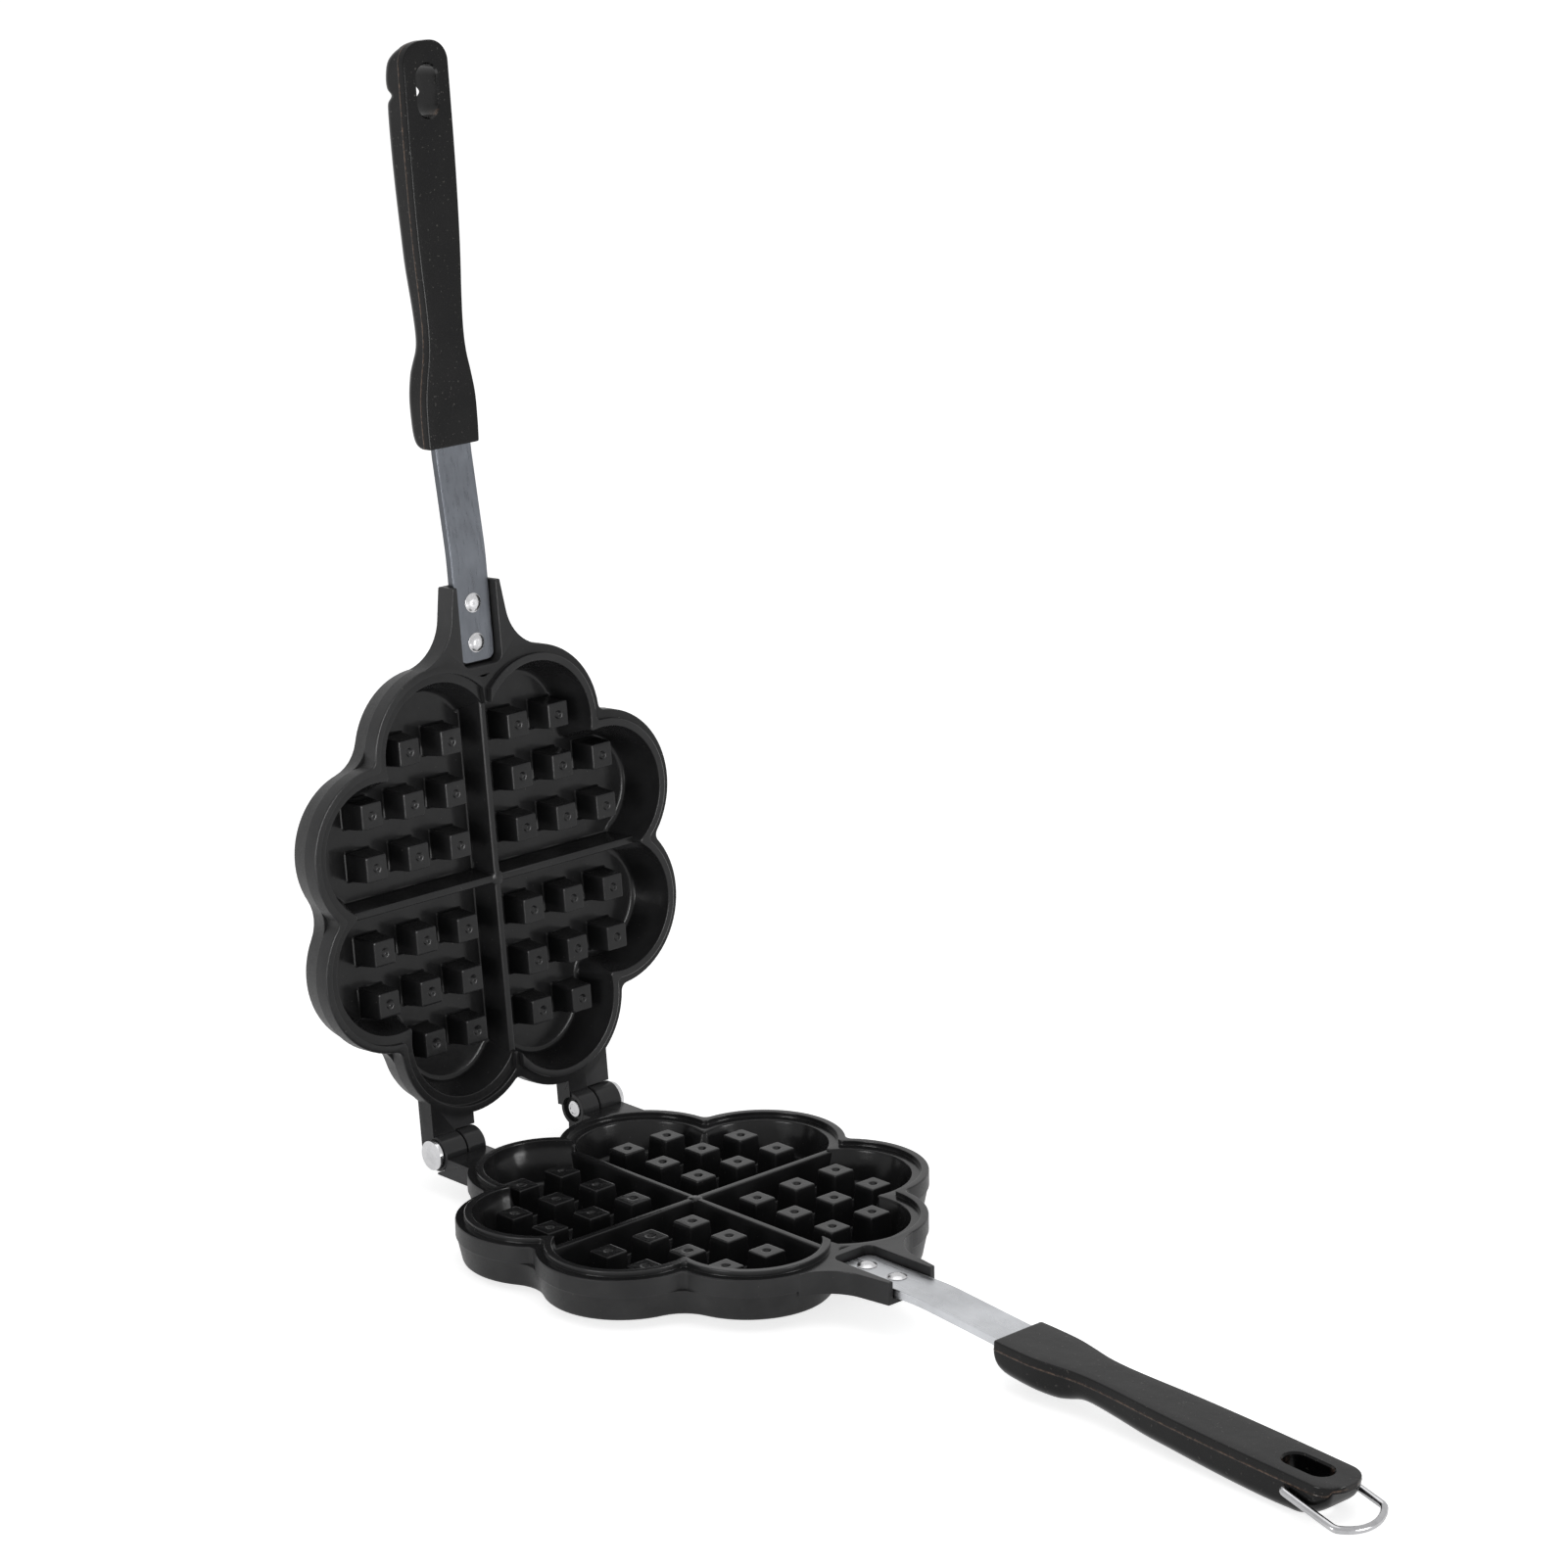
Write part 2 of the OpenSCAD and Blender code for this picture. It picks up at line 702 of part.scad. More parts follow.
// Lower grip, with the two blind holes that hold the wire
module lower_grip() {
    color(bakelite)
        difference() {
            grip(bend_low, slope_low, tip_low);
            for (side = [-1, 1])
                translate([wire_x, side * 10.1, wire_z])
                    rotate([side * 90, 0, 0])
                        translate([0, 0, -1])
                            cylinder(h = pivot_d + 1, r = wire_r + pivot_play);
        }
}

// Upper grip
module upper_grip() {
    color(bakelite)
        lid_place()
            grip(bend_up, slope_up, tip_up);
}

// Latch wire: two ends turned into the grip, two legs and a bowed end
module latch_wire() {
    bow_x = wire_reach - bow_r;
    corner_y = leg_y - corner_r;
    corner_x = bow_x + sqrt(pow(bow_r - corner_r, 2) - pow(corner_y, 2));
    turn = atan2(corner_y, corner_x - bow_x);
    end_y = 10.1 - pivot_d + 0.3;
    color(bright)
        translate([wire_x, 0, wire_z])
            rotate([0, wire_hang, 0]) {
                translate([bow_x, 0, 0])
                    rotate([0, 0, -turn])
                        rotate_extrude(angle = 2 * turn)
                            translate([bow_r, 0])
                                circle(r = wire_r);
                for (side = [-1, 1])
                    scale([1, side, 1]) {
                        for (joint = [[bow_x + bow_r * cos(turn), bow_r * sin(turn)],
                                      [corner_x, leg_y], [elbow_r, leg_y],
                                      [0, leg_y - elbow_r]])
                            translate([joint[0], joint[1], 0])
                                sphere(r = wire_r + 0.02);
                        translate([corner_x, corner_y, 0])
                            rotate([0, 0, turn])
                                rotate_extrude(angle = 90 - turn)
                                    translate([corner_r, 0])
                                        circle(r = wire_r);
                        translate([elbow_r, leg_y, 0])
                            rotate([0, 90, 0])
                                cylinder(h = corner_x - elbow_r, r = wire_r);
                        translate([elbow_r, leg_y - elbow_r, 0])
                            rotate([0, 0, 90])
                                rotate_extrude(angle = 90)
                                    translate([elbow_r, 0])
                                        circle(r = wire_r);
                        translate([0, end_y, 0])
                            rotate([-90, 0, 0])
                                cylinder(h = leg_y - elbow_r - end_y, r = wire_r);
                    }
            }
}

lower_pan();
upper_pan();
hinge_pin_near();
hinge_pin_far();
lower_strap();
upper_strap();
lower_rivet_inner();
lower_rivet_outer();
upper_rivet_inner();
upper_rivet_outer();
lower_grip();
upper_grip();
latch_wire();
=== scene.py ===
# %% [markdown]
# # A double-sided stove-top waffle iron
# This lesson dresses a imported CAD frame. The frame gives every sub-part its place and its size, and the
# joints say how the lid and the latch wire turn. Each piece below is a finer mesh that stands for one CAD
# node. It is drawn in millimetres, in the coordinates of one half of the iron, and becomes metres when its
# mesh is made. The scene is emptied first, so that nothing stands in it but what the lesson makes.

import json
import math

import bmesh
import bpy
import numpy as np
from mathutils import Matrix, Vector

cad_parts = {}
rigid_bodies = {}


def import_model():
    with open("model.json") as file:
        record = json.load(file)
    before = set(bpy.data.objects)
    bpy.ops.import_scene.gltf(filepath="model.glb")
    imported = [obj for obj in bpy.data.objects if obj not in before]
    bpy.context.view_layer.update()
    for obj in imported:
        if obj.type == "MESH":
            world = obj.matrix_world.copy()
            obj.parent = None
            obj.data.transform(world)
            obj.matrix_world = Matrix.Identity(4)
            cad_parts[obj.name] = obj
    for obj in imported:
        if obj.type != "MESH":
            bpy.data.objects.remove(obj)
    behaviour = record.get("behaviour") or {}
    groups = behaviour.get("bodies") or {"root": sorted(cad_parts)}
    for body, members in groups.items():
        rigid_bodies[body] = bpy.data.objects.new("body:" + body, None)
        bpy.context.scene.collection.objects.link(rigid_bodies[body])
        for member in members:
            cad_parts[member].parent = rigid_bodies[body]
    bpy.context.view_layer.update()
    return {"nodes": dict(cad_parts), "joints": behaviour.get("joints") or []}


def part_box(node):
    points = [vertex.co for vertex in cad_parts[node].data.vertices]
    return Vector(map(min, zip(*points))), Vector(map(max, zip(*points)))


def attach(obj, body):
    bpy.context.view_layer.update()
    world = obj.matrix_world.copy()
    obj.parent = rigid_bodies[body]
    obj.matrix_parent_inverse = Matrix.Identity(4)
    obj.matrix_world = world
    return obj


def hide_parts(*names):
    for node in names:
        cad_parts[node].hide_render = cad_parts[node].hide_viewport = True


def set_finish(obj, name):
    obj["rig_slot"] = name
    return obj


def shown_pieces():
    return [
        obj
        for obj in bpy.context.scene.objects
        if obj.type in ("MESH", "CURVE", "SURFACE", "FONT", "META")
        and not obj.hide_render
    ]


for leftover in list(bpy.data.objects):
    bpy.data.objects.remove(leftover)
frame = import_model()
MM = 0.001
joints = {joint["name"]: joint for joint in frame["joints"]}
print("CAD nodes:", sorted(frame["nodes"]))

# %% [markdown]
# ## One casting, used twice
# The foundry pours both halves in the same mould. The lid is that casting turned over about the handle's
# axis and swung open about the hinge, so one matrix places everything that belongs to the lid. Its numbers
# come from the hinge joint of the frame.

# %% The lid's place
hinge = Vector(joints["lid_hinge"]["pos_m"]) / MM
hinge_x = -hinge.x
part_z = hinge.z
open_angle = max(joints["lid_hinge"]["range_deg"])
turn_over = Matrix.Rotation(math.pi, 4, "X") @ Matrix.Translation((0, 0, -part_z))
swing = Matrix.Rotation(-math.radians(open_angle), 4, "Y")
LOWER = Matrix.Identity(4)
hinge_point = (-hinge_x, 0, part_z)
at_hinge = Matrix.Translation(hinge_point) @ swing
LID = at_hinge @ Matrix.Translation((hinge_x, 0, 0)) @ turn_over
print("hinge axis", round(hinge_x, 2), "mm behind the middle; lid open by", open_angle, "degrees")

# %% [markdown]
# ## From loops to a closed skin
# Most pieces are skins over loops of points: a profile that goes round a flower, a section that runs along
# a grip, a circle that follows a wire. A modifier stack could do some of them, but loops in code keep each
# radius exact, and the result is a closed mesh from the start.


# %% Skin over loops
def skin(loops, start=None, end=None):
    """Points and faces over closed loops of one length; an end is flat, or comes to a point in space."""
    count = len(loops[0])
    points = [tuple(p) for loop in loops for p in loop]
    faces = []
    for low in range(0, len(points) - count, count):
        high = low + count
        for j in range(count):
            k = (j + 1) % count
            faces.append((low + j, low + k, high + k, high + j))
    for tip, first in ((start, 0), (end, (len(loops) - 1) * count)):
        if tip is None:
            faces.append(tuple(range(first, first + count)))
            continue
        points.append(tip)
        faces += [(first + j, first + (j + 1) % count, len(points) - 1) for j in range(count)]
    return points, faces


# %% [markdown]
# Points and faces become a mesh, and an object shows the mesh. Modifiers finish some of the pieces. A
# boolean joins or cuts solids: its exact solver is used on the small ones, and its manifold solver, which
# needs closed meshes, on the large ones. A bevel rounds sharp edges. Each modifier is applied at once, so
# that the next step works on plain faces.


# %% Meshes and objects
def piece_of(name, data):
    """An object in the scene that shows a mesh, or holds a lamp or a camera."""
    obj = bpy.data.objects.new(name, data)
    bpy.context.scene.collection.objects.link(obj)
    return obj


def solid(name, shape, place=LOWER):
    """An object from points in millimetres and faces; its mesh is in metres, with the faces outwards."""
    points, faces = shape
    mesh = bpy.data.meshes.new(name)
    mesh.from_pydata([place @ Vector(p) * MM for p in points], [], faces)
    work = bmesh.new()
    work.from_mesh(mesh)
    bmesh.ops.recalc_face_normals(work, faces=work.faces)
    work.to_mesh(mesh)
    work.free()
    return piece_of(name, mesh)


# %% Modifiers, applied at once
def settle(obj):
    """Turns an object's modifiers into its mesh."""
    graph = bpy.context.evaluated_depsgraph_get()
    settled = bpy.data.meshes.new_from_object(obj.evaluated_get(graph))
    obj.modifiers.clear()
    obj.data = settled
    return obj


def combine(obj, tool, operation, solver="EXACT"):
    """Adds or cuts a tool solid with a boolean, and takes the tool away."""
    cut = obj.modifiers.new("combine", "BOOLEAN")
    cut.operation = operation
    cut.solver = solver
    cut.object = tool
    settle(obj)
    bpy.data.objects.remove(tool)
    return obj


def soften(obj, width):
    """Rounds the sharp edges of a simple solid by width millimetres."""
    bevel = obj.modifiers.new("soften", "BEVEL")
    bevel.width = width * MM
    bevel.segments = 2
    bevel.limit_method = "ANGLE"
    bevel.angle_limit = math.radians(40)
    return settle(obj)


# %% [markdown]
# Smooth shading has to stop at real edges. Blender marks an edge as sharp where the surface turns by more
# than an angle, and weighted normals let the large faces decide the shading. A count of open edges shows
# whether a piece is a closed solid.


# %% Shading, and what a piece measures
def smooth(obj, angle=32):
    """Smooth shading, kept sharp where the surface turns by more than the angle."""
    mesh = obj.data
    mesh.polygons.foreach_set("use_smooth", [True] * len(mesh.polygons))
    mesh.set_sharp_from_angle(angle=math.radians(angle))
    even = obj.modifiers.new("even_normals", "WEIGHTED_NORMAL")
    even.keep_sharp = True
    even.weight = 100
    return obj


def open_edges(mesh):
    """How many edges of a mesh don't have exactly two faces."""
    work = bmesh.new()
    work.from_mesh(mesh)
    wrong = sum(1 for edge in work.edges if len(edge.link_faces) != 2)
    work.free()
    return wrong


def report(obj):
    """Prints what a piece measures."""
    size = [round(v / MM, 1) for v in obj.dimensions]
    print(obj.name, "size in mm", size, "faces", len(obj.data.polygons), "open edges", open_edges(obj.data))


# %% [markdown]
# ## The flower outline
# Seen from above, the pan is eight round lobes with a small fillet between neighbours. A loop is worked out
# arc by arc: 27 points on a lobe, then five or seven on the fillet that follows. Every loop has the same
# count, so any two of them can be joined, whatever their radii are.

# %% Points of the flower
lobe_ring = 55.5
half_chord = lobe_ring * math.sin(math.pi / 8)
chord_x = lobe_ring * math.cos(math.pi / 8)
LOBE_STEPS = 26
NOTCH_STEPS = 6


def turned(x, y, angle):
    """A point turned about the origin."""
    return (x * math.cos(angle) - y * math.sin(angle), x * math.sin(angle) + y * math.cos(angle))


def arc(x, y, r, start, end, count):
    """Points on an arc about x, y."""
    return [(x + r * math.cos(a), y + r * math.sin(a)) for a in np.linspace(start, end, count)]


def on_lobe(k, t, r, fillet):
    """Point t of the way along lobe k."""
    reach = math.sqrt((r + fillet) ** 2 - half_chord**2)
    half_arc = math.atan2(half_chord, reach) + math.pi / 8
    middle = math.pi / 8 + k * math.pi / 4
    angle = middle + (2 * t - 1) * half_arc
    x = lobe_ring * math.cos(middle) + r * math.cos(angle)
    return (x, lobe_ring * math.sin(middle) + r * math.sin(angle))


def on_notch(k, t, r, fillet):
    """Point t of the way along the fillet after lobe k."""
    reach = math.sqrt((r + fillet) ** 2 - half_chord**2)
    half_arc = math.atan2(half_chord, reach)
    angle = math.pi + (1 - 2 * t) * half_arc
    x = chord_x + reach + fillet * math.cos(angle)
    return turned(x, fillet * math.sin(angle), (k + 1) * math.pi / 4)


print("lobe centres on a ring of", lobe_ring, "mm; half chord", round(half_chord, 2), "mm")

# %% [markdown]
# ## The rim that interlocks
# One half of the rim carries a raised tongue, the other half a recess, so that two equal castings close on
# each other. The cross section of the wall therefore comes in three kinds: tongue, recess, and a plain one
# for the two short places on the handle's axis where they change over. All three have the same number of
# points. The wall below the band has wide fillets between the lobes, and the band a small one.

# %% Fillets between the lobes
rim_r = 30.6
cavity_r = 24.7
band_fillet = 3.0
top_fillet = 1.0
least_fillet = 0.6
wall_reach = 42.2
floor_t = 2.0
seat_z = part_z - 0.15


def below(r, z):
    """A loop of the wall under the band: the circles of its fillets keep their centres."""
    return (r, z, wall_reach - r)


def above(r, z):
    """A loop of the band or of the rim's top: its fillet shrinks towards the cavity."""
    fillet = top_fillet + (band_fillet - top_fillet) * (r - cavity_r) / (rim_r - cavity_r)
    return (r, z, max(fillet, least_fillet))


def into_cavity(r, z):
    """A loop of the cavity wall: its fillet grows towards the floor."""
    return (r, z, top_fillet + (cavity_r - r) * 1.1)


print("fillets at the band and at the cavity:", above(rim_r, 0)[2], above(cavity_r, 0)[2])

# %% [markdown]
# A cross section runs from the middle of the base, up the outer wall, over the rim and down to the floor of
# the cavity. The outer wall and the cavity are the same all round. Only the top of the rim differs, and its
# heights count from the parting plane.

# %% Cross sections of the wall: lobe radius, height, fillet radius
outside = [below(27.2, 0), below(27.9, 0.12), below(28.3, 0.5), below(28.58, 1.2)]
outside += [below(30.12, part_z - 6.9), below(30.2, part_z - 6.55)]
outside += [(30.3, part_z - 6.4, 10.0), (30.45, part_z - 6.34, 3.4)]
outside += [above(rim_r, part_z - 6.1), above(rim_r, part_z - 0.7), above(30.53, part_z - 0.42)]
outside += [above(30.33, part_z - 0.22), above(30.0, seat_z)]
tongue = [(27.75, -0.15), (27.55, -0.08), (27.5, 0.1), (27.5, 1.3), (27.42, 1.6), (27.15, 1.8)]
tongue += [(25.1, 1.8), (24.8, 1.62), (24.7, 1.3), (24.68, 0)]
recess = [(28.15, -0.15), (27.88, -0.26), (27.8, -0.55), (27.8, -1.6), (27.7, -1.9), (27.4, -2)]
recess += [(24.75, -2), (24.5, -2.1), (24.36, -2.35), (24.3, -2.6)]
plain = [(27.75, -0.15), (27.3, -0.15), (26.9, -0.15), (26.5, -0.15), (26.1, -0.15), (25.6, -0.15)]
plain += [(25.1, -0.15), (24.85, -0.25), (24.7, -0.5), (24.6, -0.9)]
inside = [(24.15, part_z - 3.1), (20.9, floor_t + 1.4), (20.6, floor_t + 0.75), (20.1, floor_t + 0.3)]
inside += [(19.3, floor_t + 0.05), (18.6, floor_t)]


def section(top):
    """The whole cross section, from the middle of the base round to the middle of the floor."""
    return outside + [above(r, part_z + z) for r, z in top] + [into_cavity(r, z) for r, z in inside]


sections = {"tongue": section(tongue), "recess": section(recess), "plain": section(plain)}
print("points in a cross section:", {kind: len(steps) for kind, steps in sections.items()})

# %% [markdown]
# Each column of points stands at one place of the outline. Where the tongue ends, two columns lie almost on
# each other, one with the tongue and one without, and the faces between them make the tongue's end wall.
# The change takes place on the fillets after the fourth and the eighth lobe.

# %% The pan's shell
columns = []
for k in range(8):
    kind = "recess" if k < 4 else "tongue"
    columns += [(on_lobe, k, i / LOBE_STEPS, kind) for i in range(LOBE_STEPS + 1)]
    if k in (3, 7):
        other = "tongue" if k == 3 else "recess"
        columns += [(on_notch, k, 0.10, kind), (on_notch, k, 0.12, "plain")]
        columns += [(on_notch, k, t, "plain") for t in (0.3, 0.5, 0.7)]
        columns += [(on_notch, k, 0.88, "plain"), (on_notch, k, 0.90, other)]
    else:
        columns += [(on_notch, k, i / NOTCH_STEPS, kind) for i in range(1, NOTCH_STEPS)]

shell_loops = []
for i in range(len(sections["plain"])):
    loop = []
    for where, k, t, kind in columns:
        r, z, fillet = sections[kind][i]
        loop.append((*where(k, t, r, fillet), z))
    shell_loops.append(loop)
casting = solid("casting", skin(shell_loops, (0, 0, 0), (0, 0, floor_t)))
report(casting)

# %% [markdown]
# ## Pegs and ribs
# The pegs press the square holes into the waffle. They have draft, so that the waffle lets go, a small
# fillet at the foot, a bevel round the top, and a dimple left by the pin that pushed the casting out of its
# mould. A peg is a stack of rounded squares. The last ones shrink to the round dimple, with the same count.

# %% One peg as loops: half width, corner radius, height
peg_z = part_z - 2.7
dimple_d = 0.86
corner_share = 0.985
peg_steps = [(6.0, 1.1, floor_t - 0.6), (5.85, 1.0, floor_t), (5.45, 0.8, floor_t + 0.35)]
peg_steps += [(5.26, 0.7, floor_t + 1), (4.62, 0.6, peg_z - 0.7), (4.56, 0.6, peg_z - 0.3)]
peg_steps += [(4.40, 0.6, peg_z - 0.08), (4.15, 0.6, peg_z - 0.015), (3.85, 0.6, peg_z - 0.003)]
peg_steps += [(2.15, 2.15, peg_z), (1.95, 1.95, peg_z - 0.01)]
peg_steps += [(1.6, 1.6, peg_z - 0.08), (1.42, 1.42, peg_z - 0.3), (0.95, 0.95, peg_z - 0.72)]


def rounded_square(x, y, half, corner, z, steps=7):
    """A square with rounded corners about a point; a full corner makes it a circle."""
    points = []
    for quarter, (sx, sy) in enumerate(((1, 1), (-1, 1), (-1, -1), (1, -1))):
        for i in range(steps + 1):
            angle = math.pi / 2 * (quarter + i / steps)
            px = x + sx * (half - corner) + corner * math.cos(angle)
            py = y + sy * (half - corner) + corner * math.sin(angle)
            points.append((px, py, z))
    return points


def peg(x, y):
    """Points and faces of the peg at x, y, with the tip of its dimple."""
    # a circle's corner points would meet where two quarters join, so the corner stays a hair short
    loops = [rounded_square(x, y, half, corner * corner_share, z) for half, corner, z in peg_steps]
    return skin(loops, None, (x, y, peg_z - dimple_d))


# %% [markdown]
# Eight pegs stand in each quarter, on a square grid. The last place of the grid would lie in the wall.

# %% All 32 pegs of a casting
peg_pitch = 19.0
peg_first = 15.4
peg_rows = [peg_first + a * peg_pitch for a in range(3)]
quarter = [(x, y) for x in peg_rows for y in peg_rows][:-1]
peg_points, peg_faces = [], []
for x, y in quarter:
    for sx, sy in ((-1, -1), (-1, 1), (1, -1), (1, 1)):
        points, faces = peg(sx * x, sy * y)
        start = len(peg_points)
        peg_points += points
        peg_faces += [tuple(start + c for c in face) for face in faces]
pegs = solid("pegs", (peg_points, peg_faces))
report(pegs)

# %% [markdown]
# The cross ribs divide the waffle into four. Their section is a tall wedge with a rounded top and a fillet
# at the floor. A round boss stands where they cross. One rib is a hair lower than the other, so that no two
# faces lie in one plane when the solids are joined.

# %% Ribs and boss
rib_reach = 66.5
rib_side = [(3.4, floor_t - 0.5), (3.2, floor_t + 0.04), (2.75, floor_t + 0.3), (2.45, floor_t + 1)]
rib_side += [(1.42, peg_z - 0.7), (1.3, peg_z - 0.3), (1.02, peg_z - 0.06)]


def rib(along_y, drop):
    """Points and faces of a rib from rim to rim."""
    right = [(w, z - drop) for w, z in rib_side] + [(0.6, peg_z - drop)]
    shape = right + [(-w, z) for w, z in reversed(right)]
    loops = []
    for s in np.linspace(-rib_reach, rib_reach, 9):
        loops.append([(s, w, z) if not along_y else (w, s, z) for w, z in shape])
    return skin(loops)


def lathe(profile, axis_point, axis="z", steps=48):
    """Points and faces turned about an axis through a point; the profile is radius, height."""
    x0, y0, z0 = axis_point

    def spot(r, angle, h):
        """A point by its radius, turn and height."""
        c, s = r * math.cos(angle), r * math.sin(angle)
        return (x0 + c, y0 + s, z0 + h) if axis == "z" else (x0 + c, y0 + h, z0 + s)

    loops = [[spot(r, 2 * math.pi * i / steps, h) for i in range(steps)] for r, h in profile]
    return skin(loops, spot(0, 0, profile[0][1]), spot(0, 0, profile[-1][1]))


boss_side = [(3.6, floor_t - 0.5), (3.3, floor_t + 0.1), (2.95, floor_t + 1), (2.8, peg_z - 0.5)]
boss_side += [(2.6, peg_z - 0.12), (2.2, peg_z + 0.06)]
parts = {"boss": lathe(boss_side, (0, 0, 0)), "rib_x": rib(False, 0), "rib_y": rib(True, 0.03)}
for name, shape in parts.items():
    combine(pegs, solid(name, shape), "UNION", "MANIFOLD")
combine(casting, pegs, "UNION", "MANIFOLD")
report(casting)

# %% [markdown]
# ## Handle tang
# The wall flares out into a tang with a pocket, in which the strap lies. Its plan is drawn with the true
# flare arcs and extruded. The pocket is cut with a boolean, the edges are softened with a bevel, and then
# the tang is joined to the shell. Its inner side runs inside the wall, along the same flower outline, and
# its top stays a hair below the seat of the rim, so that no two faces lie in one plane.

# %% Plan of the tang
hair = 0.02
root_r, root_fillet = 29.2, 2.6
tang_x, tang_half = 108.0, 10.8
tang_bottom = part_z - 8.5
flare_x, flare_r = 99.0, 18.0
flare_y = half_chord + math.sqrt((rim_r + flare_r) ** 2 - (flare_x - chord_x) ** 2)
flare_from = math.atan2(half_chord - flare_y, chord_x - flare_x) + 2 * math.pi
flare_gap = math.hypot(tang_x - flare_x, tang_half - flare_y)
flare_to = math.atan2(tang_half - flare_y, tang_x - flare_x) - math.acos(flare_r / flare_gap) + 2 * math.pi


def prism(outline, z0, z1):
    """Points and faces of an upright solid over an outline."""
    return skin([[(x, y, z0) for x, y in outline], [(x, y, z1) for x, y in outline]])


flare = arc(flare_x, flare_y, flare_r, flare_from, flare_to, 14)
hidden_side = [on_lobe(0, t, root_r, root_fillet) for t in (0.34, 0.25, 0.15, 0.05)]
half_plan = list(reversed(hidden_side)) + flare + [(tang_x, tang_half)]
tang_plan = half_plan + [(x, -y) for x, y in reversed(half_plan)]
tang = solid("tang", prism(tang_plan, tang_bottom, seat_z - hair))

# %% [markdown]
# The pocket is a flat trough with round corners at its inner end. Its cutter runs on past the end of the
# tang and above the rim.

# %% Pocket for the strap
strap_w, strap_t = 16.0, 3.2
strap_top = part_z - 3.1
pocket_x, pocket_half, pocket_r = 78.5, 8.7, 3.0
pocket_plan = []
for a in np.linspace(0, math.pi / 2, 7):
    x = pocket_x + pocket_r - pocket_r * math.cos(a)
    pocket_plan.append((x, pocket_half - pocket_r + pocket_r * math.sin(a)))
pocket_plan.append((tang_x + 5, pocket_half))
pocket_plan += [(x, -y) for x, y in reversed(pocket_plan)]
pocket_floor = strap_top - strap_t - 0.05
pocket = solid("pocket", prism(pocket_plan, pocket_floor, part_z + 5))
soften(combine(tang, pocket, "DIFFERENCE"), 0.45)
combine(casting, tang, "UNION", "MANIFOLD")
report(casting)

# %% [markdown]
# ## Hinge arms
# Two arms reach back to the hinge axis. Each carries one knuckle and has a round hollow for the other
# casting's knuckle beside it: the near arm has the inner knuckle, the far arm the outer one. A bore goes
# through for the pin, and on the near arm it widens to the counterbore in which the pin is peened over. One
# cutter with a step drills both, which leaves cleaner edges than two cutters in turn.

# %% Arms, hollows and knuckles
arm_in, arm_out, arm_depth, arm_tip = 22.5, 41.5, 7.4, 91.6
knuckle_r, hollow_r, bore_r = 6.4, 6.75, 2.58
knuckle_in, knuckle_mid, knuckle_gap = 23.0, 31.3, 0.3
sink_r, sink_d = 4.75, 1.5


def round_bar(r, y0, y1, edge=0.0):
    """A bar along the hinge axis, with softened ends."""
    profile = [(r - edge, y0), (r, y0 + edge), (r, y1 - edge), (r - edge, y1)]
    profile = profile if edge else [(r, y0), (r, y1)]
    return lathe(profile, hinge_point, "y", 64)


def arm(side):
    """One hinge arm with its knuckle; side is -1 for the near one."""
    rows = np.linspace(arm_in, arm_out, 8)
    plan = [(-chord_x - math.sqrt(root_r**2 - (y - half_chord) ** 2), y) for y in rows]
    plan += [(-arm_tip, arm_out), (-arm_tip, arm_in)]
    plan = [(x, side * y) for x, y in plan]
    block = solid("arm", prism(plan, part_z - arm_depth, seat_z - 2 * hair))
    lid_part = (knuckle_mid, arm_out + 2) if side < 0 else (arm_in - 2, knuckle_mid)
    ends = sorted(side * y for y in lid_part)
    soften(combine(block, solid("hollow", round_bar(hollow_r, *ends)), "DIFFERENCE"), 0.5)
    own_part = (knuckle_in, knuckle_mid - knuckle_gap) if side < 0 else (knuckle_mid + knuckle_gap, arm_out)
    ends = sorted(side * y for y in own_part)
    combine(block, solid("barrel", round_bar(knuckle_r, *ends, edge=0.4)), "UNION")
    wide = sink_r if side < 0 else bore_r + 0.001
    drill = [(bore_r, side * (arm_out + 3)), (bore_r, side * (knuckle_in + sink_d))]
    drill += [(wide, side * (knuckle_in + sink_d)), (wide, side * (arm_in - 3))]
    return combine(block, solid("drill", lathe(drill, hinge_point, "y", 60)), "DIFFERENCE")


# %% [markdown]
# The open lid rests on a lug, a small block on the near inner knuckle. It is drawn upright beside the axis
# and then turned by the angle at which the lid stands open. Its face then meets the tip of the lid's arm.

# %% Stop lug, and the arms joined to the casting
lug_t, lug_reach, lug_gap, tip_short = 3.5, 8.0, 0.03, 1.0
lug_x = tip_short - lug_gap - lug_t
lug_near, lug_far = -knuckle_mid + knuckle_gap + hair, -knuckle_in - hair
lug_plan = [(lug_x, lug_near), (lug_x + lug_t, lug_near), (lug_x + lug_t, lug_far), (lug_x, lug_far)]
lug = soften(solid("lug", prism(lug_plan, knuckle_r - 1.2, lug_reach), at_hinge), 0.35)
near_arm = combine(arm(-1), lug, "UNION")
far_arm = arm(1)
print("open edges of the arms:", open_edges(near_arm.data), open_edges(far_arm.data))
combine(casting, near_arm, "UNION", "MANIFOLD")
combine(casting, far_arm, "UNION", "MANIFOLD")
report(casting)

# %% [markdown]
# The outer walls of a pan like this are left with the fine grain of the blasted casting under the coat,
# while the cavity is smoother, so that the waffle lets go. A point attribute marks the outside. It goes by
# the distance to the nearest lobe centre and by the height, and the material reads it.

# %% Mark the satin outside
wall_from, base_rise, top_gap = 28.4, 1.25, 0.3
lobe_centres = [turned(lobe_ring, 0, math.pi / 8 + k * math.pi / 4) for k in range(8)]


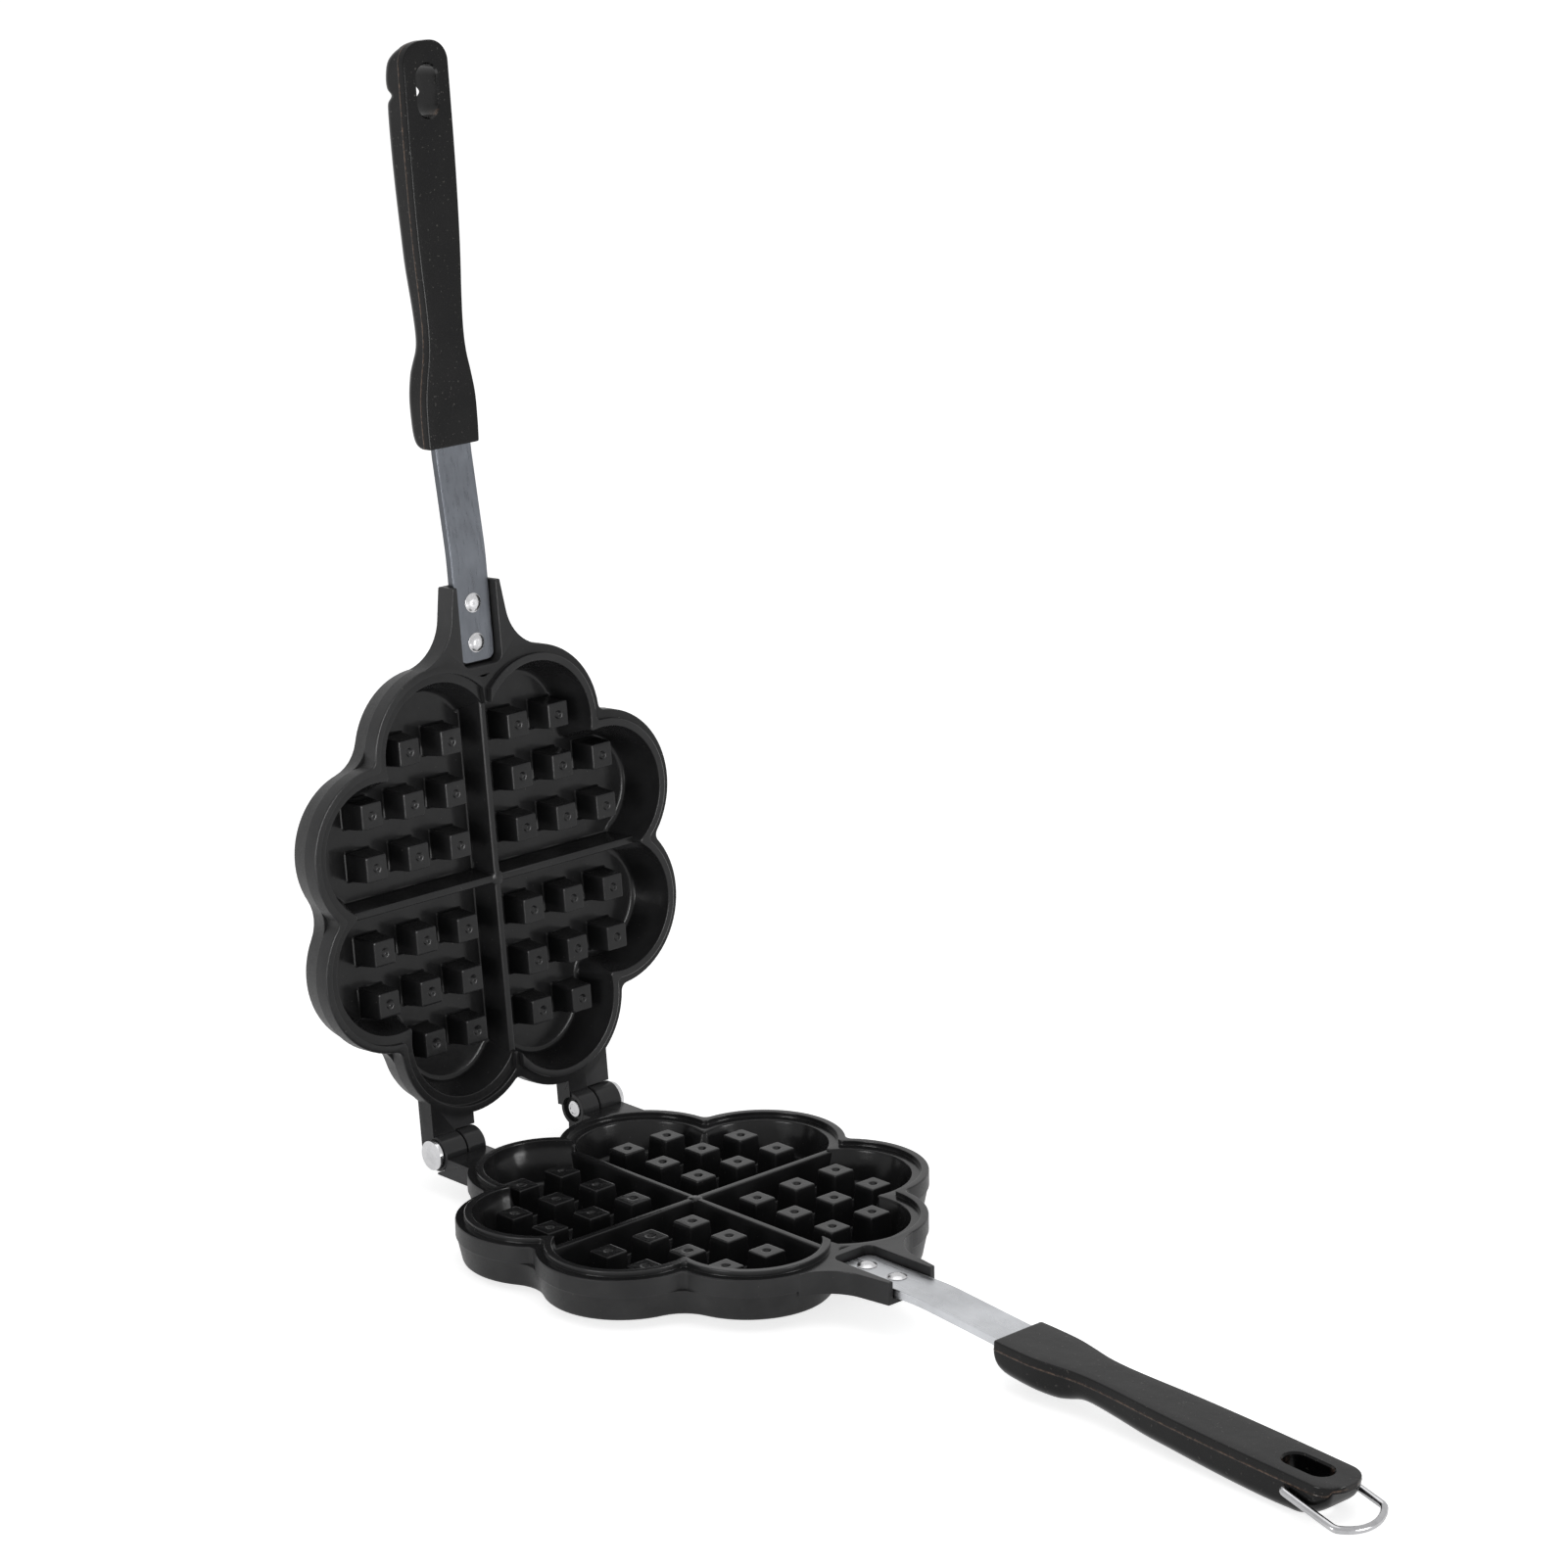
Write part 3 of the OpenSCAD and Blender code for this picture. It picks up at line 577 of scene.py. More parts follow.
def is_outside(point):
    """1 where a point of the casting is on its outer side."""
    x, y, z = (v / MM for v in point)
    gap = min(math.dist((x, y), centre) for centre in lobe_centres)
    beyond_lobes = math.hypot(x, y) > lobe_ring and gap > wall_from
    return 1.0 if z < part_z - top_gap and (beyond_lobes or z < base_rise) else 0.0


satin = casting.data.attributes.new("satin", "FLOAT", "POINT")
satin.data.foreach_set("value", [is_outside(vertex.co) for vertex in casting.data.vertices])
print("points marked satin:", int(sum(mark.value for mark in satin.data)), "of", len(satin.data))

# %% [markdown]
# ## Two castings
# The finished mesh is copied for the lid and placed with the lid's matrix. Each copy rides on its own body
# of the frame and stands for its CAD node.

# %% Lower pan and lid
casting.name = "lower_pan_casting"
lid_mesh = casting.data.copy()
lid_mesh.transform(Matrix.Scale(1 / MM, 4))
lid_mesh.transform(LID)
lid_mesh.transform(Matrix.Scale(MM, 4))
lid_cast = piece_of("upper_pan_casting", lid_mesh)
for obj, body, node in ((casting, "base", "lower_pan"), (lid_cast, "lid", "upper_pan")):
    smooth(obj)
    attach(obj, body)
    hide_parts(node)
    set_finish(obj, "coated_casting")
    report(obj)

# %% [markdown]
# ## Hinge pins
# A pin is turned from steel wire: a flat head on the outside, and an end that was hammered over inside the
# counterbore. A lathe profile gives both, with a rounded rim on the head and the ring that the punch left.

# %% Turned pins
pin_r, head_r, head_t, head_gap = 2.5, 5.5, 1.8, 0.3
peen_r, peen_t = 3.25, 1.0
head_y = -arm_out - head_gap
peen_y = -knuckle_in - sink_d + 0.05
pin_profile = [(1.5, head_y - head_t + 0.04), (3.6, head_y - head_t), (head_r - 0.45, head_y - head_t)]
pin_profile += [(head_r - 0.12, head_y - head_t + 0.14), (head_r, head_y - head_t + 0.5)]
pin_profile += [(head_r, head_y - 0.3), (head_r - 0.2, head_y), (pin_r, head_y), (pin_r, peen_y)]
pin_profile += [(peen_r, peen_y), (peen_r, peen_y + 0.35), (peen_r - 0.25, peen_y + 0.75)]
pin_profile += [(peen_r - 0.8, peen_y + peen_t), (1.9, peen_y + peen_t), (1.7, peen_y + peen_t - 0.2)]
pin_profile += [(0.9, peen_y + peen_t - 0.3)]


def pin(name, side):
    """A hinge pin; side is -1 for the near one."""
    profile = pin_profile if side < 0 else [(r, -y) for r, y in reversed(pin_profile)]
    obj = solid(name, lathe(profile, hinge_point, "y", 56))
    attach(smooth(obj), "base")
    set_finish(obj, "pin_steel")
    report(obj)
    return obj


near_pin = pin("near_hinge_pin_turned", -1)
far_pin = pin("far_hinge_pin_turned", 1)
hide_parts("hinge_pin_near")
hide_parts("hinge_pin_far")

# %% [markdown]
# ## Straps
# A strap is flat steel bar, sheared to length, bent a few degrees and punched for two rivets. It is a skin
# over sections that follow a line. The line bends softly before the grip and once more at its front, and
# near its inner end the strap narrows along the round corners.

# %% The line of a strap
grip_x = 157.0
bend_x, bend_half = 118.8, 5.0
strap_x, strap_corner = pocket_x + 1.3, 3.0
tail_l = 45.0


def front_height(bend):
    """Height of the strap's face where the grip begins."""
    return strap_top - (grip_x - bend_x) * math.tan(bend)


def strap_line(bend, slope):
    """Stations of the strap's face: x, z, slope in radians, half width."""
    full = strap_w / 2
    stations = []
    for a in np.linspace(0, math.pi / 2, 7):
        x = strap_x + strap_corner - strap_corner * math.cos(a)
        stations.append((x, strap_top, 0.0, full - strap_corner + strap_corner * math.sin(a)))
    for x in np.linspace(strap_x + 8, bend_x - bend_half, 5):
        stations.append((x, strap_top, 0.0, full))
    for t in np.linspace(0, 1, 9):
        x = bend_x - bend_half + 2 * bend_half * t
        stations.append((x, strap_top - bend_half * math.tan(bend) * t * t, bend * t, full))
    for x in np.linspace(bend_x + 2 * bend_half, grip_x - 3, 5):
        stations.append((x, strap_top - (x - bend_x) * math.tan(bend), bend, full))
    for s in np.linspace(3, tail_l, 5):
        z = front_height(bend) - s * math.sin(slope)
        stations.append((grip_x + s * math.cos(slope), z, slope, full))
    return stations


print("strap from x", round(strap_x, 1), "to", grip_x + tail_l, "mm")

# %% [markdown]
# The section is a rectangle with edges rounded by the rolling mill. Each station of the line tilts it, so
# that it stays square to the bar.


# %% A bar along the line
def bar_section(half, thick, edge=0.45):
    """Rounded rectangle: sideways and down from the face."""
    side, low = half - edge, edge - thick
    points = []
    for quarter, (cx, cz) in enumerate(((side, -edge), (-side, -edge), (-side, low), (side, low))):
        for i in range(4):
            a = math.pi / 2 * (quarter + i / 3)
            points.append((cx + edge * math.cos(a), cz + edge * math.sin(a)))
    return points


def strap(name, bend, slope, place):
    """A steel strap as a skin over its sections."""
    loops = []
    for x, z, tilt, half in strap_line(math.radians(bend), math.radians(slope)):
        loop = []
        for y, down in bar_section(half, strap_t):
            loop.append((x + down * math.sin(tilt), y, z + down * math.cos(tilt)))
        loops.append(loop)
    obj = solid(name, skin(loops), place)
    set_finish(smooth(obj, 50), "strap_steel")
    return obj


# %% Both straps
bend_low, slope_low = 5.3, 3.2
bend_up, slope_up = 4.7, -1.2
lower_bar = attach(strap("lower_strap_bar", bend_low, slope_low, LOWER), "base")
upper_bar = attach(strap("upper_strap_bar", bend_up, slope_up, LID), "lid")
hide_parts("lower_strap")
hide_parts("upper_strap")
report(lower_bar)
report(upper_bar)

# %% [markdown]
# ## Rivets
# Four aluminium rivets hold the straps. The domed head has the faint flat that the setting tool leaves, and
# under the tang the formed head is a plain button.

# %% Domed rivets
rivet_r, rivet_head_r, rivet_head_h = 2.0, 3.5, 1.2
head_z = strap_top + 0.05
dome_r = (rivet_head_r**2 + rivet_head_h**2) / (2 * rivet_head_h)
foot_z = tang_bottom - rivet_head_h


def rivet(name, x, place):
    """A rivet at x; the profile runs from the formed head up to the dome."""
    profile = [(1.4, foot_z), (2.5, foot_z + 0.05), (3.05, foot_z + 0.35), (3.4, foot_z + 0.85)]
    profile += [(3.4, tang_bottom - 0.05), (rivet_r, tang_bottom - 0.04), (rivet_r, head_z)]
    profile += [(rivet_head_r - 0.06, head_z), (rivet_head_r, head_z + 0.1)]
    for r in (3.3, 3.0, 2.6, 2.2, 1.8, 1.45):
        profile.append((r, head_z + rivet_head_h - dome_r + math.sqrt(dome_r**2 - r * r)))
    profile += [(1.3, head_z + rivet_head_h - 0.17), (0.6, head_z + rivet_head_h - 0.2)]
    return solid(name, lathe(profile, (x, 0, 0)), place)


# %% Set the four rivets
rivet_places = {"inner": 86.5, "outer": 100.9}
for half, place, body in (("lower", LOWER, "base"), ("upper", LID, "lid")):
    for spot, x in rivet_places.items():
        obj = rivet(f"{half}_rivet_{spot}_domed", x, place)
        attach(smooth(obj, 40), body)
        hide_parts(f"{half}_rivet_{spot}")
        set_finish(obj, "rivet_metal")
        report(obj)

# %% [markdown]
# ## Grips
# The grips are moulded from black resin. Seen from above a grip is waisted, and seen from the side its back
# swells for the palm. Two short lists of measured stations describe this, and a smooth curve runs through
# them. The upper grip's back has a seat near its end, in which the latch wire lies.

# %% Curves of a grip: distance from its front, and half width or depth
grip_l = 142.0
tip_r = 8.0
grip_plan = [(0, 11.3), (7, 11.5), (17, 11.3), (25, 10.1), (33, 8.6), (41, 8.1), (52, 8.4), (72, 9.5)]
grip_plan += [(100, 10.1), (134, 10)]
grip_back = [(0, 7.2), (0.9, 9.4), (2.8, 10.9), (7, 11.8), (18, 12.5), (25.5, 12.6), (30, 11.8)]
grip_back += [(34.5, 10.5), (39, 10.2), (48, 10.8), (63, 11.9), (75, 12.2), (94, 12.9), (110, 13.3)]
grip_back += [(118, 13.3)]
lower_end = [(124, 13.1), (129, 12.7), (135, 10.1), (138.6, 7.4), (139.6, 5), (140.1, 2.5), (142, 2.3)]
upper_end = [(121, 12.9), (123.6, 10.8), (126, 12.9), (130, 13.2), (135, 11.8), (139, 8.6), (141, 5.2)]
upper_end += [(142, 2.6)]


def curve_through(points, per=6):
    """A smooth curve through points, per steps for each stretch."""
    rows = np.array([points[0], *points, points[-1]])
    found = []
    for a, b, c, d in zip(rows, rows[1:], rows[2:], rows[3:]):
        for t in np.arange(per) / per:
            bend = (2 * a - 5 * b + 4 * c - d) * t * t + (3 * b - a - 3 * c + d) * t**3
            found.append(0.5 * (2 * b + (c - a) * t + bend))
    return np.array(found + [rows[-1]])


plan_curve = curve_through(grip_plan)


def half_width(s):
    """Half width of a grip at s from its front, with the round end."""
    if s <= grip_l - tip_r:
        return float(np.interp(s, plan_curve[:, 0], plan_curve[:, 1]))
    across = math.sqrt(max(tip_r**2 - (s - grip_l + tip_r) ** 2, 0.3))
    return plan_curve[-1, 1] - tip_r + across


print("half width at front, waist and end:", [round(half_width(s), 1) for s in (0, 41, 134)])

# %% [markdown]
# The section of a grip is a flat face with a soft edge, upright sides and a round back. A thin flash line,
# left where the halves of the mould met, goes all round below the flat face. The side bulges there by a
# tenth of a millimetre. A point attribute marks the line, and the material gives it the brownish tone of
# scraped resin.

# %% Section of a grip and its loft
flash_z = -3.0
back_r = 4.5
flash_rows = [(0.45, 0, 0), (0.18, 0.05, 0.6), (0, 0.13, 1), (-0.18, 0.05, 0.6), (-0.45, 0, 0)]
front_rows = [(0.7, 0.0), (0.2, 0.12), (0.0, 0.5)]


def grip_section(w, depth):
    """Points across a grip, and how much each belongs to the flash line."""
    edge = min(0.6, w * 0.2)
    flash = max(flash_z, -depth * 0.5)
    r = max(min(back_r, w - 0.3, depth + flash - 0.35), 0.2)
    side = [(w - edge, 0), (w - edge * 0.3, -edge * 0.3), (w, -edge)]
    marks = [0, 0, 0]
    for dz, bulge, mark in flash_rows:
        side.append((w + bulge, flash + dz * min(1, -flash / 1.2)))
        marks.append(mark)
    for a in np.linspace(0, math.pi / 2, 8):
        side.append((w - r + r * math.cos(a), -depth + r - r * math.sin(a)))
        marks.append(0)
    face = [(w - edge) * k for k in (-0.6, -0.2, 0.2, 0.6)]
    back = [(w - r) * k for k in (0.5, 0, -0.5)]
    points = [(y, 0) for y in face] + side
    points += [(y, -depth) for y in back] + [(-y, z) for y, z in reversed(side)]
    return points, [0] * len(face) + marks + [0] * len(back) + marks[::-1]


def grip_loops(end):
    """Loops of a grip in its own frame, from front to end, and the flash marks."""
    back = curve_through(grip_back + end)
    round_s = [grip_l - tip_r + tip_r * math.sin(a) for a in np.linspace(0.1, math.pi / 2, 12)]
    stops = [s for s in back[:, 0] if s < grip_l - tip_r] + round_s
    stations = [(inset, s, 0.0) for inset, s in front_rows] + [(0.0, s, s) for s in stops if s > 0.7]
    loops, marks = [], []
    for inset, s, width_at in stations:
        depth = float(np.interp(s, back[:, 0], back[:, 1]))
        points, mark = grip_section(half_width(width_at) - inset, depth - inset)
        loops.append([(s, y, z - inset * 0.5) for y, z in points])
        marks += mark
    return loops, marks


# %% [markdown]
# The hanging hole is cut with a long rounded cutter. The cutter widens at both faces, so that the hole gets
# the small chamfer that a moulded part needs to leave its mould.

# %% Cutter of the hanging hole
hang_s, hang_l, hang_w = grip_l - 17.4, 18.4, 9.0


def stadium(wide, z):
    """A long hole's outline, wider by wide all round."""
    half = (hang_l - hang_w) / 2
    r = hang_w / 2 + wide
    right = [(x, y, z) for x, y in arc(hang_s + half, 0, r, -math.pi / 2, math.pi / 2, 17)]
    left = [(2 * hang_s - x, -y, z) for x, y, z in right]
    return right + left


hole_steps = [(3.0, -22), (1.2, -14.4), (0.05, -12.2), (0, -6), (0, -0.7), (0.6, 0.02), (1.4, 4)]
hole_loops = [stadium(wide, z) for wide, z in hole_steps]
print("hanging hole", hang_l, "by", hang_w, "mm")

# %% [markdown]
# A grip stands where its strap leads. Its front is at the end of the bend, a little above the strap's face,
# and it slopes like the strap's tail, which is moulded into it.

# %% A whole grip
face_rise = 0.9


def grip(name, end, bend, slope, place):
    """A whole grip in place behind its strap."""
    loops, marks = grip_loops(end)
    front = Matrix.Translation((grip_x, 0, front_height(math.radians(bend)) + face_rise))
    stand = place @ front @ Matrix.Rotation(math.radians(slope), 4, "Y")
    obj = solid(name, skin(loops), stand)
    flash = obj.data.attributes.new("flash", "FLOAT", "POINT")
    flash.data.foreach_set("value", np.array(marks, np.float32))
    combine(obj, solid("hole", skin(hole_loops), stand), "DIFFERENCE")
    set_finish(smooth(obj, 38), "grip_resin")
    return obj


# %% Both grips
lower_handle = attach(grip("lower_grip_moulded", lower_end, bend_low, slope_low, LOWER), "base")
upper_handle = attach(grip("upper_grip_moulded", upper_end, bend_up, slope_up, LID), "lid")
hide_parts("lower_grip")
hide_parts("upper_grip")
report(lower_handle)
report(upper_handle)

# %% [markdown]
# ## Latch wire
# The latch is one piece of spring wire. Its two ends turn inwards into the grip, two legs run back, and a
# bowed end slips over the tip of the other grip. A circle follows that line. The line is a chain of
# straight legs and arcs, so every bend has the radius that a wire bender would give it.

# %% Centre line of the wire
pivot = Vector(joints["latch_swing"]["pos_m"]) / MM
wire_r, leg_y, wire_reach, bow_r, corner_r, elbow_r = 1.3, 11.7, 27.1, 16.8, 3.0, 1.7
wire_end_y = 6.85
wire_hang = 15.5
bow_x = wire_reach - bow_r
corner_y = leg_y - corner_r
corner_x = bow_x + math.sqrt((bow_r - corner_r) ** 2 - corner_y**2)
bow_turn = math.atan2(corner_y, corner_x - bow_x)
half_line = [(0, wire_end_y), (0, 8), (0, 9.2)]
for a in np.linspace(0, math.pi / 2, 7):
    half_line.append((elbow_r - elbow_r * math.cos(a), leg_y - elbow_r + elbow_r * math.sin(a)))
half_line += [(x, leg_y) for x in np.linspace(elbow_r + 1.5, corner_x - 1.5, 7)]
half_line += arc(corner_x, corner_y, corner_r, math.pi / 2, bow_turn, 8)
half_line += arc(bow_x, 0, bow_r, bow_turn, 0, 9)[1:]
wire_line = half_line + [(x, -y) for x, y in reversed(half_line[:-1])]
print("wire length", round(sum(math.dist(a, b) for a, b in zip(wire_line, wire_line[1:])), 1), "mm")

# %% The wire as a tube
round_steps = 20
wire_loops = []
for i, (x, y) in enumerate(wire_line):
    before, after = wire_line[max(i - 1, 0)], wire_line[min(i + 1, len(wire_line) - 1)]
    heading = math.atan2(after[1] - before[1], after[0] - before[0])
    small = 0.8 if i in (0, len(wire_line) - 1) else 1.0
    loop = []
    for n in range(round_steps):
        a = 2 * math.pi * n / round_steps
        out, up = small * wire_r * math.cos(a), small * wire_r * math.sin(a)
        loop.append((x - out * math.sin(heading), y + out * math.cos(heading), up))
    wire_loops.append(loop)
wire_place = Matrix.Translation(pivot) @ Matrix.Rotation(math.radians(wire_hang), 4, "Y")
latch = solid("latch_wire_loop", skin(wire_loops), wire_place)
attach(smooth(latch, 45), "latch")
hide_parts("latch_wire")
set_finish(latch, "wire_steel")
report(latch)

# %% [markdown]
# ## Materials from nodes
# Every finish is built from noise in object space, so nothing depends on a picture or on where the camera
# stands. One helper adds a node with its values and links, and the others build on it.


# %% Node helpers
def finish_named(name):
    """A new material, its node tree, and its main shader."""
    material = bpy.data.materials.new(name)
    material.use_nodes = True
    tree = material.node_tree
    return material, tree, tree.nodes["Principled BSDF"]


def plug(tree, node, inputs):
    """Gives each input of a node its value, or the output of another node."""
    for socket, source in inputs.items():
        if isinstance(source, bpy.types.NodeSocket):
            tree.links.new(source, node.inputs[socket])
        else:
            node.inputs[socket].default_value = source


def add(tree, kind, inputs=None, **properties):
    """Adds a node, sets its properties and feeds its inputs."""
    node = tree.nodes.new(kind)
    for key, value in properties.items():
        setattr(node, key, value)
    plug(tree, node, inputs or {})
    return node


def arithmetic(tree, operation, first, second):
    """One step of arithmetic on two values or outputs."""
    return add(tree, "ShaderNodeMath", {0: first, 1: second}, operation=operation).outputs[0]


def attribute(tree, name):
    """The mark that the points of a mesh carry."""
    return add(tree, "ShaderNodeAttribute", attribute_name=name).outputs["Fac"]


# %% [markdown]
# Three helpers make the patterns: a noise that can be stretched along the axes, a ramp that turns its
# factor into a colour or a grey, and a blend of two colours. A fourth stacks bump maps.


# %% Patterns
def noise(tree, scale, detail, roughness=0.55, stretch=(1, 1, 1)):
    """The factor of a noise in object space, stretched along the axes."""
    place = add(tree, "ShaderNodeTexCoord").outputs["Object"]
    grow = add(tree, "ShaderNodeMapping", {"Vector": place, "Scale": stretch}).outputs["Vector"]
    inputs = {"Vector": grow, "Scale": scale, "Detail": detail, "Roughness": roughness}
    return add(tree, "ShaderNodeTexNoise", inputs).outputs["Fac"]


def ramp(tree, source, low, high, at=(0.35, 0.65)):
    """Turns a factor into a colour or a grey between two values."""
    node = add(tree, "ShaderNodeValToRGB", {"Fac": source})
    for stop, value, place in zip(node.color_ramp.elements, (low, high), at):
        stop.color = (value, value, value, 1) if isinstance(value, (int, float)) else (*value, 1)
        stop.position = place
    return node.outputs["Color"]


def blend(tree, factor, first, second):
    """A colour between two."""
    inputs = {"Factor": factor, "A": first, "B": second}
    return add(tree, "ShaderNodeMix", inputs, data_type="RGBA").outputs["Result"]


def bumps(tree, shader, heights):
    """Stacks bump maps: each is a height output, its strength and its depth in metres."""
    inputs = {}
    for height, strength, distance in heights:
        inputs.update({"Height": height, "Strength": strength, "Distance": distance})
        inputs["Normal"] = add(tree, "ShaderNodeBump", inputs).outputs["Normal"]
    plug(tree, shader, {"Normal": inputs["Normal"]})


# %% [markdown]
# The castings are aluminium under a black non-stick coat. It mirrors a soft grey where light grazes it,
# smooth in the cavity and satin outside. Fine orange peel from spraying lies over the broader unevenness of
# the casting. Edges are made a little greyer, partly as real wear and partly as a painted highlight. The
# Geometry node's pointiness finds them.

# %% Coated casting
# a lighter grey for pointed edges: partly wear, partly a painted highlight
worn_and_highlight_tone = (0.030, 0.030, 0.031, 1)
dust_tone = (0.060, 0.058, 0.055, 1)


def coated_casting():
    """Black coat: smooth and satin by the point mark, with edges lightened as wear and as painted
    highlight, and a little dust.
    """
    material, tree, shader = finish_named("coated_casting")
    cloud = noise(tree, 55, 3)
    grain = noise(tree, 1500, 3, 0.6)
    peel = noise(tree, 420, 2)
    specks = noise(tree, 800, 2, 0.5)
    outer = attribute(tree, "satin")
    smooth_tone = ramp(tree, cloud, (0.0110, 0.0110, 0.0114), (0.0170, 0.0170, 0.0175))
    satin_tone = ramp(tree, cloud, (0.0160, 0.0160, 0.0165), (0.0290, 0.0290, 0.0295))
    tone = blend(tree, outer, smooth_tone, satin_tone)
    edges = add(tree, "ShaderNodeNewGeometry").outputs["Pointiness"]
    # painted highlight, partly wear: edges that the pointiness finds are lightened
    tone = blend(tree, ramp(tree, edges, 0.0, 1.0, (0.515, 0.59)), tone, worn_and_highlight_tone)
    tone = blend(tree, ramp(tree, specks, 0.0, 1.0, (0.73, 0.80)), tone, dust_tone)
    smooth_gloss = ramp(tree, grain, 0.14, 0.22, (0.3, 0.7))
    satin_gloss = ramp(tree, grain, 0.36, 0.52, (0.3, 0.7))
    gloss = blend(tree, outer, smooth_gloss, satin_gloss)
    plug(tree, shader, {"Base Color": tone, "Roughness": gloss, "Specular IOR Level": 0.18})
    bumps(tree, shader, [(cloud, 0.25, 0.0006), (peel, 0.14, 0.00012), (grain, 0.16, 0.00005)])
    return material


# %% [markdown]
# Strap steel is cold rolled: fine lines run along the bar, with faint clouds of blue-grey scale between
# them. Stretching the noise along the bar's length makes the lines.


# %% Strap steel
def strap_steel(name, tone, rough, stretch):
    """Rolled bar; stretch is small along the bar's length."""
    material, tree, shader = finish_named(name)
    lines = noise(tree, 900, 3, 0.6, stretch)
    clouds = noise(tree, 60, 4, 0.6)
    spots = noise(tree, 700, 2, 0.5)
    dark, light = [tuple(c * share for c in tone) for share in (0.84, 1.10)]
    shade = ramp(tree, clouds, dark, light, (0.3, 0.7))
    gloss = ramp(tree, lines, rough - 0.06, rough + 0.10)
    plug(tree, shader, {"Base Color": shade, "Roughness": gloss, "Metallic": 1.0})
    bumps(tree, shader, [(lines, 0.18, 0.00005), (spots, 0.10, 0.00004)])
    return material


# %% [markdown]
# Rivets, pins and wire are brighter metals. They share one recipe with a different tone, polish and grain:
# aluminium that was hammered, steel that was turned, and drawn wire with a bright plating.


# %% Bright metals
def bright_metal(name, tone, rough, grain_scale, depth):
    """Bare metal with a fine grain and slight stains."""
    material, tree, shader = finish_named(name)
    grain = noise(tree, grain_scale, 3, 0.6)
    stain = noise(tree, 260, 3, 0.6)
    shade = ramp(tree, stain, tuple(c * 0.82 for c in tone), tone, (0.25, 0.6))
    gloss = ramp(tree, grain, rough * 0.75, rough * 1.4)
    plug(tree, shader, {"Base Color": shade, "Roughness": gloss, "Metallic": 1.0})
    bumps(tree, shader, [(grain, 0.3, depth)])
    return material


# %% [markdown]
# The grip's resin is black and half glossy. Wood flour in it leaves tiny pale specks and pinholes, the skin
# has slow waves from the mould, and the flash line is brown where the file went along.

# %% Grip resin
speck_tone = (0.05, 0.047, 0.044, 1)
flash_tone = (0.13, 0.085, 0.062, 1)


def grip_resin():
    """Black resin with pale specks and a brown flash line."""
    material, tree, shader = finish_named("grip_resin")
    waves = noise(tree, 70, 3)
    fine = noise(tree, 1700, 3, 0.6)
    specks = noise(tree, 950, 1, 0.4)
    crumbs = noise(tree, 520, 3, 0.7)
    tone = ramp(tree, waves, (0.0028, 0.0028, 0.0030), (0.0050, 0.0049, 0.0049))
    tone = blend(tree, ramp(tree, specks, 0.0, 1.0, (0.70, 0.76)), tone, speck_tone)
    broken = ramp(tree, crumbs, 0.15, 1.0, (0.40, 0.62))
    scraped = arithmetic(tree, "MULTIPLY", attribute(tree, "flash"), broken)
    tone = blend(tree, scraped, tone, flash_tone)
    gloss = ramp(tree, fine, 0.15, 0.24, (0.3, 0.7))
    plug(tree, shader, {"Base Color": tone, "Roughness": gloss, "Specular IOR Level": 0.17})
    heights = [(waves, 0.2, 0.0008), (specks, 0.12, 0.0001), (crumbs, 0.05, 0.0001), (fine, 0.06, 0.00004)]
    bumps(tree, shader, heights)
    return material


# %% [markdown]
# The frame's slots name the finishes. Both straps fill the same slot, but the upper bar gets a far darker
# tone as painted shade, so these two are picked by the piece's name.

# %% Give every piece its finish
along_x, along_z = (0.06, 1, 1), (1, 1, 0.06)
finishes = {
    "coated_casting": coated_casting(),
    "grip_resin": grip_resin(),
    "lower_strap_bar": strap_steel("lower_strap_steel", (0.52, 0.53, 0.55), 0.30, along_x),
    # the upper bar's far darker tone is painted shade on the same steel
    "upper_strap_bar": strap_steel("upper_strap_steel_painted_shade", (0.105, 0.112, 0.125), 0.32, along_z),
    "rivet_metal": bright_metal("rivet_metal", (0.55, 0.55, 0.56), 0.22, 900, 0.00006),
    "pin_steel": bright_metal("pin_steel", (0.56, 0.56, 0.57), 0.20, 1100, 0.00005),
    "wire_steel": bright_metal("wire_steel", (0.42, 0.42, 0.43), 0.16, 1500, 0.00003),
}
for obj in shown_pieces():
    obj.data.materials.clear()
    obj.data.materials.append(finishes.get(obj.name) or finishes[obj.get("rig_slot")])

# %% [markdown]
# ## Floor and background
# The iron stands on a white table. It leans by a degree and a half, because the lower grip touches the
# table together with the edge of the base on the hinge's side. The floor is a soft white that keeps a faint
# shadow. The world is white where the camera or a reflection looks at it, and dimmer where it only lights.

# %% Floor under the base's edge and the grip
grip_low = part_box("lower_grip")[0]
base_edge_x, grip_touch_x, sink, clearance = -80.0, 281.0, 0.05, 0.06
lean = math.atan2(grip_low.z / MM - sink, grip_touch_x - base_edge_x)
floor_half = 4.0
floor_points = [(x * floor_half, y * floor_half, 0) for x, y in ((-1, -1), (1, -1), (1, 1), (-1, 1))]
floor_mesh = bpy.data.meshes.new("floor")
floor_mesh.from_pydata(floor_points, [], [(0, 1, 2, 3)])
floor = piece_of("floor", floor_mesh)
floor_place = Matrix.Translation((base_edge_x * MM, 0, -clearance * MM))
floor.matrix_world = floor_place @ Matrix.Rotation(-lean, 4, "Y")
print("floor leans by", round(math.degrees(lean), 2), "degrees")

# %% [markdown]
# Lamps that made the table white would burn out the metal. So the table glows, but only for rays that come
# from the camera or from a reflection. Its diffuse share still takes the shadow.


# %% White that keeps a shadow
def looked_at(tree):
    """1 where the camera or a reflection looks, and 0 where light is gathered."""
    path = add(tree, "ShaderNodeLightPath").outputs
    return arithmetic(tree, "MAXIMUM", path["Is Camera Ray"], path["Is Glossy Ray"])


